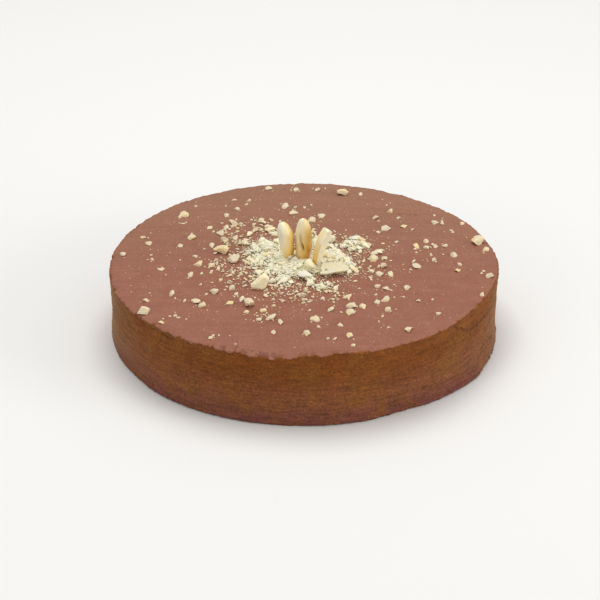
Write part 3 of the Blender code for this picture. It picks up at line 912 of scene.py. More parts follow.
        # The flap of cream under the slanted shoulder, and the crease below it.
        drop = self.flap_drop * self.flap.share(degrees)
        above = drop - below + layered(ring, self.flap_edge)
        flap = smooth_step(drop / self.flap_fade) * on_side
        thick = smooth_step(above / self.flap_lip + self.flap_start)
        thick *= np.exp(-np.maximum(above, 0.0) / self.flap_fade)
        outward += self.flap_thickness * flap * thick * MM
        depth = self.crease_depth * flap * bell(above + self.crease_below, self.crease_width)

        # The cracks.
        unbroken = smooth_step(self.crack_share + layered(ring, self.crack_breaks))
        for crack in self.crevices:
            share = (degrees - crack.angle_from) / (crack.angle_to - crack.angle_from)
            fade = Span(0, self.crack_ends, 1, self.crack_ends).share(share) * unbroken
            centre = crack.below_from + (crack.below_to - crack.below_from) * share
            centre = centre + layered(ring * (1, 1, 0), *self.crack_wander, shift=crack.below_to)
            depth += crack.depth * fade * bell(below - centre, crack.width)
        outward -= depth * on_side * MM

        # The ragged foot, and the relief of the top.
        foot = layered(ring, *self.ragged_foot) * bell(height / MM, self.foot_zone) * (out > 0)
        outward += foot * (1 + self.ragged_foot_right * np.clip(round_x, 0, 1)) * MM
        relief = self.relief_on_top(place) * (up > LEVEL)
        pits = self.pits(place) * (up > self.pit_facing)
        rise += relief * (1 - near_lip) - pits
        points = place + np.stack([outward * round_x, outward * round_y, rise], axis=1)
        points[:, 2] = np.where(height <= 0.0, 0.0, np.maximum(points[:, 2], 0.0))

        # The paint.
        border = self.border_below + layered(ring, *self.border) * calm + self.border_overhang * overhang
        top_share = smooth_step((np.maximum(border, -self.border_below) - below) / self.border_soft + 0.5)
        # Painted shade: the line under the top's colour, the cracks, deep strokes, the foot, and the pits and
        # dips of the top.
        distance, width, strength, more = self.shelter
        shelter = bell(below - border - distance, width) * (strength + more * overhang)
        scored = np.maximum(-strokes - self.stroke_limit, 0.0)
        hollow = (self.crack_shade * depth + shelter + scored) * on_side
        hollow += self.foot_shade * bell(height / MM, self.foot_shade_zone) * (up < LEVEL)
        hollow += self.pit_shade * pits / MM + np.maximum(-relief / MM - self.top_limit, 0.0)
        return points, np.stack([top_share, height / self.height, hollow], axis=1)

    def pits(self, place: Rows) -> Rows:
        """Depth of the small pits in the top's front edge.

        Args:
            place: rows of x, y, z in metres.

        Returns:
            The depth at each, in metres.
        """
        rng = random.Random(self.pit_seed)
        depth = np.zeros(len(place))
        for _ in range(self.pit_count):
            angle = math.radians(rng.uniform(*self.pit_angles))
            radius = self.radius - rng.uniform(*self.pit_insets) * MM
            size = rng.uniform(*self.pit_sizes) * MM
            centre = np.array([radius * math.sin(angle), -radius * math.cos(angle)])
            away = np.linalg.norm(place[:, :2] - centre, axis=1)
            depth = np.maximum(depth, rng.uniform(*self.pit_depths) * MM * bell(away, size))
        return depth


class Grade(Enum):
    """Sizes of chopped cashew, each with the rounds of subdivision that it needs."""

    CHUNK = 5
    CHIP = 3
    CRUMB = 2
    DUST = 1


@dataclass
class Fragments:
    """Shapes of broken cashew: angular lumps with flat broken faces, and here and there a face of skin."""

    variants: int = 16
    seed: int = 71
    blank: float = 0.7
    fewest_faces: int = 7
    most_faces: int = 10
    # The nearest and farthest that a face is cut from the middle, and how much of what stands over it goes.
    cuts: tuple[float, float] = (0.3, 0.52)
    cut_share: float = 0.95
    skin_share: float = 0.25
    skin_grit: float = 0.3
    uncut_toast: float = 0.12
    skin_toast: tuple[float, float] = (0.14, 0.3)
    broken_toast: tuple[float, float] = (0.0, 0.08)
    jitter: float = 0.45
    # Strength and size of the lumps on the larger grades, against a length of 1.
    lumps: tuple[tuple[float, float], ...] = ((0.05, 0.3), (0.03, 0.12))
    pointed: float = 0.7
    bends: tuple[float, ...] = (0.0, 0.0, 0.5, -0.5, 0.9)

    def shape(
        self, grade: Grade, rng: random.Random, point: float | None = None, rounder: float = 0.0
    ) -> Skin:
        """One fragment that fills a box of 1 by 1 by 1 round the origin.

        Args:
            grade: how large it will be, which sets its triangles.
            rng: the source of its form.
            point: how much thicker it is at its +X end than at the other, from -1 to 1; by chance if None.
            rounder: how much less its flat faces cut off, up to 0.2.

        Returns:
            The fragment, its paint holding toast, grit and hollow.
        """
        bm = bmesh.new()
        bmesh.ops.create_icosphere(bm, subdivisions=grade.value, radius=self.blank)
        points = np.array([vert.co for vert in bm.verts])
        faces = np.array([[vert.index for vert in face.verts] for face in bm.faces])
        bm.free()
        seed = rng.uniform(0, 50)
        broken = np.zeros(len(points))
        toast = np.full(len(points), self.uncut_toast)
        count = rng.randint(self.fewest_faces, self.most_faces)
        for index in range(count):
            tip = 1 - 2 * (index + 0.5) / count
            turn = index * GOLDEN_ANGLE
            across = math.sqrt(1 - tip * tip)
            normal = np.array([across * math.cos(turn), across * math.sin(turn), tip])
            normal += [rng.uniform(-self.jitter, self.jitter) for _ in range(3)]
            normal /= np.linalg.norm(normal)
            over = points @ normal - rng.uniform(*self.cuts) - rounder
            cut = over > 0
            points -= np.where(cut, over * self.cut_share, 0.0)[:, None] * normal
            skin = rng.random() < self.skin_share
            broken = np.where(cut, self.skin_grit if skin else 1.0, broken)
            toast = np.where(cut, rng.uniform(*(self.skin_toast if skin else self.broken_toast)), toast)
        if grade in (Grade.CHUNK, Grade.CHIP):
            points *= 1 + sum(strength * grain(points, size, seed) for strength, size in self.lumps)[:, None]
        thicker = rng.uniform(-self.pointed, self.pointed) if point is None else point
        points[:, 2] -= points[:, 2].min()
        points[:, 1:] *= 1 + thicker * points[:, :1]
        points[:, 1] += rng.choice(self.bends) * points[:, 0] ** 2
        low, high = points.min(axis=0), points.max(axis=0)
        points = (points - (low + high) / 2) / (high - low)
        return Skin(points, faces, np.stack([toast, broken, 0 * toast], axis=1))

    def set_of(self, grade: Grade) -> list[Skin]:
        """The variants of one grade."""
        rng = random.Random(self.seed + grade.value)
        return [self.shape(grade, rng) for _ in range(self.variants)]


@dataclass
class Strewn:
    """One fragment's place: its centre, box, turns and share of toast."""

    centre: tuple[float, float, float]
    size: tuple[float, float, float]
    turn: float
    tilt: float
    toast: float

    def lay(self, shape: Skin, floor: float = -1.0) -> Skin:
        """Gives the shape this size, turn and place.

        Args:
            shape: a fragment that fills a box of 1.
            floor: the height below which it is flattened.

        Returns:
            The fragment where it lies.
        """
        turned = Matrix.Rotation(self.turn, 3, "Z") @ Matrix.Rotation(self.tilt, 3, "Y")
        points = (shape.points * self.size) @ np.array(turned).T + self.centre
        points[:, 2] = np.maximum(points[:, 2], floor)
        paint = shape.paint.copy()
        paint[:, 0] += self.toast
        return Skin(points, shape.faces, paint)


@dataclass(frozen=True)
class Batch:
    """A batch of crumbs or dust.

    Attributes:
        count: how many lie anywhere.
        shortest: length of the smallest, in metres.
        spread: how much longer the largest are.
        power: above 1 keeps them nearer the heap, or where the heap is high.
        by_chips: how many more lie beside a chip.
        widths: the least and the greatest share of the length.
        heights: the same for the height.
        tilt: how far they lean either way, in radians.
    """

    grade: Grade
    count: int
    shortest: float
    spread: float
    power: float
    by_chips: int = 0
    widths: tuple[float, float] = (0.5, 0.95)
    heights: tuple[float, float] = (0.35, 0.7)
    tilt: float = 0.3

    def size(self, rng: random.Random, rarity: float, share: float = 1.0) -> tuple[float, float, float]:
        """Draws one fragment's size.

        Args:
            rng: the source of chance.
            rarity: the more, the fewer are large.
            share: makes it smaller.

        Returns:
            Its length, width and height in metres.
        """
        length = (self.shortest + self.spread * rng.random() ** rarity) * share
        return length, length * rng.uniform(*self.widths), length * rng.uniform(*self.heights)

    def turns(self, rng: random.Random) -> tuple[float, float]:
        """Draws one fragment's turn and tilt in radians."""
        return rng.uniform(0, math.tau), rng.uniform(-self.tilt, self.tilt)


@dataclass
class ChipsOnTop:
    """Chips that lie on the cream. The larger ones lie where the solid has them."""

    cream: CreamCoat
    fragments: Fragments
    # Chips placed one by one: x, y, length and width in mm, and turn in degrees.
    placed: tuple[tuple[float, float, float, float, float], ...] = (
        (-38, -53, 7, 3.5, 75), (-55, -44, 5.5, 4.5, 0), (-44, -37, 8.5, 4, 80), (-81, -46, 5, 4, 60),
        (-66, -56, 6.5, 4, 150), (-61, -61, 5.5, 4, 60), (-45, -58, 5.5, 3.5, 30), (-20, -77, 7.5, 5.5, 20),
        (-14, -82, 7.5, 3, 100), (-66, -6, 6.5, 5.5, 30), (-58, -8, 6, 4, 70), (-90, -12, 5, 3.5, 150),
        (-72, 33, 6.5, 5, 80), (-100, 25, 5.5, 4, 140), (-104, 35, 4.5, 3.5, 100), (-79, 21, 4.5, 4, 30),
        (-115, 10, 6, 3.5, 125), (-79, 68, 7.5, 7, 70), (-13, 80, 6.5, 5.5, 60), (-7, 70, 6.5, 5, 10),
        (-24, 111, 5, 4.5, 0), (-46, 55, 7.5, 4.5, 130), (-31, 44, 5.5, 4, 80), (7, -78, 7.5, 6.5, 70),
        (29, -61, 7, 5.5, 60), (28, -70, 7, 5.5, 100), (27, -98, 6, 4, 100), (62, -90, 6.5, 4, 65),
        (50, -53, 7.5, 4.5, 60), (47, -19, 5.5, 5, 110), (44, 2, 7.5, 5.5, 70), (70, -8, 7.5, 4.5, 120),
        (115.8, -19.5, 6, 5, 80), (109, -44, 5.5, 3, 80), (11, 66, 6.5, 5, 130), (53, 47, 7.5, 6.5, 100),
        (65, 50, 5, 3.5, 20), (57, 73, 5, 4, 30), (86, 57, 5.5, 5, 0), (116, 17, 5.5, 4, 70),
        (95, 8, 5.5, 4.5, 80), (72, 20, 6.5, 3.5, 110), (37, 30, 6.5, 5.5, 30), (-85, -82, 3.5, 3, 20),
        (-77, -73, 4, 2.5, 80), (-96, -54, 4, 3, 10), (-18, -95, 4, 3, 100), (-55, -101, 3, 2.5, 30),
        (-24, -68, 4.5, 3.5, 60), (-27, -79, 4.5, 3.5, 140), (-71, -20.5, 5, 4, 70), (-34.5, -70, 4, 3, 20),
        (2, -96, 5, 4, 110), (18, -102.5, 3, 2.5, 0), (29, -111, 3.5, 3, 60), (21.5, -86, 3.5, 3, 130),
        (16, -66, 5, 4, 40), (35.5, -62.5, 5, 4, 100), (26, -49.5, 5.5, 4.5, 20),
        (50.5, -39, 4.5, 3.5, 160), (45.5, -35.5, 5, 4, 30), (51, -66, 6, 4.5, 80),
        (44.5, -56.5, 4.5, 4, 30), (69.5, -54, 3.5, 3, 60), (63, -37.5, 5, 4, 120), (96, -13, 4.5, 3.5, 30),
        (82, 1.5, 4, 3, 100), (50.5, -7.5, 6, 4.5, 70), (51, 3.5, 4.5, 3.5, 20), (42, -15, 4.5, 3.5, 150),
        (54, -19.5, 6, 3.5, 100), (38, 101.5, 4, 2.5, 90), (9.5, 109, 6, 3.5, 80), (90.5, 55, 3, 2.5, 10),
        (103.5, 56, 5, 3, 70), (46.5, 63.5, 5, 4, 110), (78.5, 28, 5, 3.5, 80), (78.5, 17.5, 4, 3.5, 20),
        (84, 21, 5.5, 3, 100), (40, 22.5, 8.5, 4.5, 120), (-44.5, 76.5, 4, 3.5, 30), (-51, 66, 5, 3.5, 80),
        (-46.5, 91.5, 3, 2.5, 0), (-36.5, 90.5, 3, 2.5, 60), (-5.5, 109, 5, 4, 110),
        (-61.5, 47.5, 4.5, 3.5, 30), (-51, 47, 5, 4, 60), (-54, 39, 6, 5, 140), (-51, 30.5, 6, 4.5, 20),
        (-44.5, 31.5, 5, 4, 80), (-35.5, 37.5, 6, 4, 100), (-38, 25.5, 6.5, 4.5, 80),
        (-59, 21.5, 6.5, 3.5, 90), (-28, 58, 6, 4, 40), (-23.5, 49, 5, 4, 0), (5, 58, 6.5, 5, 70),
        (-22, 42.5, 6.5, 3.5, 0), (-18.5, 36.5, 6.5, 3, 170), (44.5, 9.5, 5, 4.5, 10),
        (48, 15, 6.5, 2.5, 170), (19.5, -39.5, 5.5, 2.5, 55),
    )
    # Where the chunks lie, which chips keep clear of: x, y and length in mm.
    chunks: tuple[tuple[float, float, float], ...] = (
        (-27, -36.5, 13), (-45, -1, 9), (-52, 12, 10), (-33.5, -60, 8.5), (-96, -69, 8.5), (111, 28, 9.5),
        (26, 102, 8.5), (18, -19.5, 21),
    )
    strewn: int = 50
    # The strewn chips are shown a little smaller than the solid has them.
    strewn_size: float = 0.72
    strew_seed: int = 24
    strew_from: float = 37 * MM
    strew_to: float = 117 * MM
    strew_power: float = 1.35
    shortest: float = 2.8 * MM
    spread: float = 2.6 * MM
    gap: float = 0.3 * MM
    widths: tuple[float, float] = (0.55, 0.9)
    heights: tuple[float, float] = (0.55, 0.85)
    highest: float = 4.5 * MM
    sink: float = 0.28
    tilt: float = 0.2
    toasts: tuple[float, ...] = (0.02, 0.04, 0.06, 0.08, 0.12, 0.22)
    crumbs: Batch = Batch(Grade.CRUMB, 190, 1.2 * MM, 2.2 * MM, 1.7, by_chips=150)
    dust: Batch = Batch(Grade.DUST, 2600, 0.5 * MM, 0.7 * MM, 3.4)
    crumbs_from: float = 20 * MM
    crumbs_to: float = 117 * MM
    # How far past a chip's end the crumbs beside it lie, in mm: the middle and the spread.
    beside: tuple[float, float] = (0.3, 1.8)
    # How rare large crumbs are, how high a crumb's middle lies as a share of its height, and its toast.
    rarity: float = 2.3
    stand: float = 0.3
    crumb_toast: float = 0.2
    # Far out, large crumbs are rarer, and all are smaller, sunk deeper and dulled by the cream on them.
    far_from: float = 52 * MM
    far_fade: float = 25 * MM
    far_rarer: float = 0.9
    far_smaller: float = 0.25
    far_sunk: float = 0.2
    far_toast: float = 0.06
    # Where crumbs lie thickest beyond the heap, as x, y, reach and count, and their scatter in one reach.
    cluster_scatter: tuple[float, float] = (0.6, 0.8)
    clusters: tuple[tuple[float, float, float, int], ...] = (
        (-43, 53, 5, 20), (-49, 43, 5, 18), (-45, 31, 6, 26), (-29, 45, 5, 16), (-21, 42, 5, 20),
        (-34, 21, 6, 16), (-40, 12, 6, 18), (-38, 1, 4, 20), (-55, -5, 5, 16), (-38, -13, 5, 24),
        (-45, -30, 5, 18), (-52, 2, 5, 16), (-47, -16, 6, 20), (-50, 22, 5, 18), (-30, -27, 5, 22),
        (-12, 34, 6, 20), (8, 36, 7, 18), (24, 34, 6, 12), (40, 14, 5, 10), (38, -4, 6, 10),
        (30, -22, 6, 14), (14, -40, 5, 26), (-4, -40, 7, 30), (-18, -38, 6, 30), (0, -50, 8, 22),
        (-18, -50, 7, 18), (20, -49, 6, 16), (-26, -76, 6, 14),
    )

    def solid_places(self) -> list[tuple[float, float, float, float, float]]:
        """The places that the solid's chips have, by the same list and the same rule.

        Returns:
            For each x, y, length and width in metres, and turn in degrees.
        """
        placed = [(x * MM, y * MM, long * MM, wide * MM, turn) for x, y, long, wide, turn in self.placed]
        taken = [(x, y, long / 2) for x, y, long, wide, turn in placed]
        taken += [(x * MM, y * MM, long * MM / 2) for x, y, long in self.chunks]
        rng = random.Random(self.strew_seed)
        chips: list[tuple[float, float, float, float, float]] = []
        while len(chips) < self.strewn:
            outward = rng.random() ** self.strew_power
            radius = self.strew_from + (self.strew_to - self.strew_from) * outward
            angle = rng.uniform(0, math.tau)
            length = self.shortest + self.spread * rng.random() ** 2
            width = length * rng.uniform(*self.widths)
            x, y = radius * math.cos(angle), radius * math.sin(angle)
            reach = length / 2 + self.gap
            if all(math.hypot(x - other[0], y - other[1]) > reach + other[2] for other in taken):
                taken.append((x, y, length / 2))
                chips.append((x, y, length, width, rng.uniform(0, 180)))
        return placed + chips

    def chips(self) -> Skin:
        """All chips that the solid has too.

        Returns:
            All of them as one skin.
        """
        shapes = self.fragments.set_of(Grade.CHIP)
        rng = random.Random(self.strew_seed + 1)
        skins = []
        for index, (x, y, length, width, turn) in enumerate(self.solid_places()):
            if index >= len(self.placed):
                length, width = self.strewn_size * length, self.strewn_size * width
            height = min(width, self.highest) * rng.uniform(*self.heights)
            z = float(self.cream.height_at(x, y)[0]) + height * (0.5 - self.sink)
            tilt, toast = rng.uniform(-self.tilt, self.tilt), rng.choice(self.toasts)
            place = Strewn((x, y, z), (length, width, height), math.radians(turn), tilt, toast)
            skins.append(place.lay(rng.choice(shapes)))
        return Skin.joined(skins)

    def small(self, batch: Batch) -> Skin:
        """Crumbs or dust, thick near the heap and thin towards the rim, some beside the chips.

        Args:
            batch: how many there are, and how long.

        Returns:
            All of them as one skin.
        """
        rng = random.Random(self.strew_seed + 10 * batch.grade.value)
        shapes = self.fragments.set_of(batch.grade)
        chips = [place[:3] for place in self.solid_places()]
        rows = []
        for index in range(batch.count + batch.by_chips):
            outward = rng.random() ** batch.power
            radius = self.crumbs_from + (self.crumbs_to - self.crumbs_from) * outward
            angle = rng.uniform(0, math.tau)
            x, y = radius * math.cos(angle), radius * math.sin(angle)
            if index >= batch.count:
                chip_x, chip_y, chip_length = rng.choice(chips)
                away = chip_length / 2 + abs(rng.gauss(*self.beside)) * MM
                x, y = chip_x + away * math.cos(angle), chip_y + away * math.sin(angle)
            rows.append((x, y))
        wide, deep = self.cluster_scatter
        for x, y, reach, crumbs in self.clusters if batch.by_chips else ():
            for _ in range(crumbs):
                rows.append((rng.gauss(x, wide * reach) * MM, rng.gauss(y, deep * reach) * MM))
        rows = [row for row in rows if math.hypot(*row) < self.crumbs_to]
        skins = []
        for (x, y), top in zip(rows, self.cream.height_at(*np.array(rows).T).tolist()):
            far = float(smooth_step((math.hypot(x, y) - self.far_from) / self.far_fade))
            size = batch.size(rng, self.rarity + self.far_rarer * far, 1 - self.far_smaller * far)
            centre = (x, y, top + (self.stand - self.far_sunk * far) * size[2])
            turns = batch.turns(rng)
            toast = rng.uniform(0.0, self.crumb_toast) + self.far_toast * far
            skins.append(Strewn(centre, size, *turns, toast).lay(rng.choice(shapes)))
        return Skin.joined(skins)

    def dress(self, finish: bpy.types.Material) -> None:
        """Builds the chips, the crumbs and the dust.

        Args:
            finish: of them all.
        """
        self.chips().piece("cashew_chips", finish, CHOPPED, ["cake_body"], CRISP)
        self.small(self.crumbs).piece("cashew_crumbs", finish, CHOPPED, ["cake_body"], CRISP)
        self.small(self.dust).piece("cashew_dust", finish, CHOPPED, ["cake_body"])


@dataclass(frozen=True)
class Lobe:
    """One mound of the heap, in millimetres: its middle, its reach each way and its height."""

    x: float
    y: float
    reach_x: float
    reach_y: float
    peak: float


@dataclass
class NutHeap:
    """The heap of chopped cashew: a low uneven bed with crumbs and chips piled on it."""

    cream: CreamCoat
    fragments: Fragments
    lobes: tuple[Lobe, ...] = (
        Lobe(-24, 16, 9, 9, 2.4), Lobe(-20, 3, 10, 8, 2.8), Lobe(-9, -12, 12, 9, 3.4),
        Lobe(-3, 0, 12, 9, 4.2), Lobe(-2, -10, 9, 6, 4.8), Lobe(6, -10, 8, 6, 4.6), Lobe(16, 4, 8, 10, 3),
        Lobe(27, -8, 5, 7, 2), Lobe(20, -10, 7, 6, 1.8), Lobe(4, -28, 3, 6, 1.4), Lobe(-14, -27, 6, 6, 1.6),
        Lobe(-30, -3, 3.5, 9, 1.4), Lobe(-28, -17, 4, 5, 1.2), Lobe(31, 21, 6, 7, 1.6),
        Lobe(11, -34, 3, 8, 1.1), Lobe(7, 22, 12, 7, 1.2), Lobe(-34, 12, 4, 6, 0.8),
    )
    highest: float = 5.4
    # The bed's share of the heap's height, its reach, its grid and the lumps on it.
    bed_share: float = 0.75
    bed_reach: float = 44 * MM
    bed_grid: int = 150
    bed_sunk: float = 0.7
    bed_lumps: tuple[Layer, ...] = ((0.42, 2.8, 1.0), (0.25, 1.3, 2.0))
    # It ends where it is this far under the cream, in mm.
    bed_end: float = 0.6
    bed_toast: float = 0.1
    bed_mottle: Layer = (0.08, 3, 4.0)
    # How dark its dips are painted: for each mm, less this much, up to this much.
    bed_shade: tuple[float, float, float] = (0.15, 0.06, 0.2)
    crumbs: Batch = Batch(Grade.CRUMB, 1900, 1.6 * MM, 3.6 * MM, 1.4, 0, (0.45, 0.9), (0.3, 0.6), 0.7)
    grit: Batch = Batch(Grade.DUST, 4200, 0.6 * MM, 0.8 * MM, 0.75, 0, (0.45, 0.9), (0.3, 0.6), 0.7)
    rarity: float = 2.5
    # They lie between these shares of the heap's height, and stand up by this share of their own.
    depths: tuple[float, float] = (0.7, 0.9)
    stand: float = 0.15
    # Crumbs are tried in this area, in mm: x from and to, y from and to, so many times for each that stays.
    area: tuple[float, float, float, float] = (-44, 50, -46, 42)
    tries: int = 12
    # Where the heap is this high, every crumb stays.
    full: float = 3.2 * MM
    toasts: tuple[float, ...] = (0.02, 0.04, 0.06, 0.08, 0.1, 0.16)
    seed: int = 12
    # Pieces placed one by one: x, y, lift, length, width and height in mm, turn in degrees, and toast.
    placed: tuple[tuple[float, float, float, float, float, float, float, float], ...] = (
        (0.6, -25.2, 3.4, 10, 7.5, 3.2, -50, -0.08), (3.8, -13.8, 3.6, 9.5, 7, 6.5, -60, 0.2),
        (-8.8, -3.5, 4.5, 6, 4.5, 3.6, 15, 0.12), (-17, 23, 2.5, 5.5, 4.5, 3, 160, 0.1),
        (-22, 44, 1, 7, 4.5, 2.8, 0, 0.3), (-19.5, 38, 1, 7, 3, 2.2, 170, 0.1),
        (-26.5, 55, 1, 5, 3.5, 2.2, 40, 0.1), (18, 27, 2, 5.5, 4.5, 4.5, 80, 0.1),
        (17, 15, 3, 6, 5, 3.4, 30, 0.05), (18.6, -1.5, 3.5, 4.8, 4.2, 3.6, 60, 0.12),
        (12.8, 1.5, 3.6, 5.5, 3.6, 3.4, 70, 0.45), (32.5, 31, 1.2, 8, 5.5, 2.8, 160, 0.02),
        (29, 24, 1.4, 7, 5.5, 2.8, 40, 0), (35.5, 15.5, 1.2, 6, 4, 2.8, 10, 0.05),
        (39.5, 21, 1, 8, 3.5, 2.4, 120, 0.15), (46.5, 10.5, 1, 7, 2.2, 2.2, 170, 0.1),
        (3.8, -33, 1.4, 6, 4.5, 2.8, 80, 0.12), (11.5, -36, 1, 8, 3.6, 2.4, 100, 0.15),
        (19.5, -38, 1, 6, 2.6, 2.2, 55, 0), (-12.5, -29.5, 1.6, 7.5, 4.5, 2.6, 20, 0.05),
        (-22.5, 3.5, 3, 6.5, 4, 2.6, 10, 0.3), (-30, -4, 1.8, 5, 5, 2.6, 90, 0.05),
        (-28.5, -18, 1.2, 5, 3.6, 2.4, 120, 0.2), (-14, -10, 3.4, 6.5, 4, 2.8, 120, 0.2),
        (-3, -14, 3.6, 6, 4.5, 3, 30, 0.12), (27, -3, 2.2, 6, 3.8, 2.8, 130, 0.1),
        (30.5, -13, 1.4, 6.5, 3.5, 2.4, 130, 0.12), (-36, 22, 1, 5, 4, 2.6, 40, 0.1),
        (-27, 26, 1.8, 5.5, 4, 2.6, 70, 0.08), (-35, 37, 1, 6, 3.8, 2.6, 95, 0.15),
        (-11.8, -6.6, 3.8, 5.5, 3.6, 3.2, 20, 0), (-5.6, -6.6, 4.4, 4.5, 3.4, 3, 150, 0.02),
    )
    # The first of them are rounder and taper, as pieces of a kernel's end do.
    smooth_count: int = 2
    smooth_point: float = -0.5
    smooth_rounder: float = 0.08
    # How far up a placed piece stands, as a share of its height, and how far it may lean, in radians.
    placed_stand: float = 0.1
    placed_tilt: float = 0.25

    def pile(self, x: Rows, y: Rows) -> Rows:
        """How high the heap stands above the cream.

        Args:
            x: of the places, in metres.
            y: of the places, in metres.

        Returns:
            The height at each, in metres.
        """
        found = np.zeros_like(x)
        for lobe in self.lobes:
            away = ((x / MM - lobe.x) / lobe.reach_x) ** 2 + ((y / MM - lobe.y) / lobe.reach_y) ** 2
            found += (lobe.peak * np.exp(-away)) ** 3
        return np.minimum(found, self.highest**3) ** (1 / 3) * MM

    def bed(self) -> Skin:
        """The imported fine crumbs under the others: a sheet with a lumpy top, sunk into the cream all round.

        Returns:
            The sheet.
        """
        ticks = np.linspace(-self.bed_reach, self.bed_reach, self.bed_grid)
        x, y = (axis.ravel() for axis in np.meshgrid(ticks, ticks))
        lumps = layered(np.stack([x, y, 0 * x], axis=1), *self.bed_lumps)
        above = self.pile(x, y) * self.bed_share / MM - self.bed_sunk + lumps
        z = self.cream.height_at(x, y) + above * MM
        keep = above > -self.bed_end
        number = np.arange(len(x)).reshape(self.bed_grid, self.bed_grid)
        a, b, c, d = number[:-1, :-1], number[:-1, 1:], number[1:, 1:], number[1:, :-1]
        faces = np.concatenate([np.stack([a, b, c], -1), np.stack([a, c, d], -1)]).reshape(-1, 3)
        faces = faces[keep[faces].any(axis=1)]
        used, index = np.unique(faces, return_inverse=True)
        points = np.stack([x, y, z], axis=1)[used]
        toast = self.bed_toast + layered(points, self.bed_mottle)
        shade, less, most = self.bed_shade
        hollow = np.clip(-shade * lumps[used] - less, 0.0, most)
        return Skin(points, index.reshape(-1, 3), np.stack([toast, np.ones_like(toast), hollow], axis=1))

    def scattered(self, batch: Batch, feet: Sequence[tuple[Vector, float]]) -> Skin:
        """The crumbs or the grit of the heap.

        Args:
            batch: how many there are, and how long.
            feet: points up the feet of the standing cashews, each with the radius to keep clear.

        Returns:
            All of them as one skin.
        """
        rng = random.Random(self.seed + batch.grade.value)
        shapes = self.fragments.set_of(batch.grade)
        left, right, front, back = self.area
        count = self.tries * batch.count
        places = np.array([(rng.uniform(left, right), rng.uniform(front, back)) for _ in range(count)]) * MM
        piles, tops = self.pile(*places.T), self.cream.height_at(*places.T)
        skins = []
        for (x, y), pile, top in zip(places.tolist(), piles.tolist(), tops.tolist()):
            if rng.random() > (pile / self.full) ** batch.power:
                continue
            size = batch.size(rng, self.rarity)
            centre = Vector((x, y, top + pile * rng.uniform(*self.depths) + self.stand * size[2]))
            if any((centre - foot).length < radius for foot, radius in feet):
                continue
            place = Strewn(tuple(centre), size, *batch.turns(rng), rng.choice(self.toasts))
            skins.append(place.lay(rng.choice(shapes)))
            if len(skins) == batch.count:
                break
        return Skin.joined(skins)

    def chips(self) -> Skin:
        """The larger pieces that stand out on the heap.

        Returns:
            All of them as one skin.
        """
        rng = random.Random(self.seed + 1)
        shapes = self.fragments.set_of(Grade.CHIP)
        skins = []
        for index, (x, y, lift, length, width, height, turn, toast) in enumerate(self.placed):
            shape = rng.choice(shapes)
            if index < self.smooth_count:
                own = random.Random(self.seed + index)
                shape = self.fragments.shape(Grade.CHIP, own, self.smooth_point, self.smooth_rounder)
            top = float(self.cream.height_at(x * MM, y * MM)[0])
            centre = (x * MM, y * MM, top + (lift + self.placed_stand * height) * MM)
            size = (length * MM, width * MM, height * MM)
            tilt = rng.uniform(-self.placed_tilt, self.placed_tilt)
            skins.append(Strewn(centre, size, math.radians(turn), tilt, toast).lay(shape))
        return Skin.joined(skins)

    def dress(self, finish: bpy.types.Material, feet: Sequence[tuple[Vector, float]]) -> None:
        """Builds the bed, the crumbs, the grit and the larger chips.

        Args:
            finish: of them all.
            feet: points up the feet of the standing cashews, each with the radius to keep clear.
        """
        self.bed().piece("heap_bed", finish, CHOPPED, ["nut_heap"])
        self.scattered(self.crumbs, feet).piece("heap_crumbs", finish, CHOPPED, ["nut_heap"], CRISP)
        self.scattered(self.grit, feet).piece("heap_grit", finish, CHOPPED, ["nut_heap"])
        self.chips().piece("heap_chips", finish, CHOPPED, ["nut_heap"], CRISP)


class Half(Enum):
    """Whether a kernel is whole, or split along its seam."""

    WHOLE = "whole"
    SPLIT = "split"


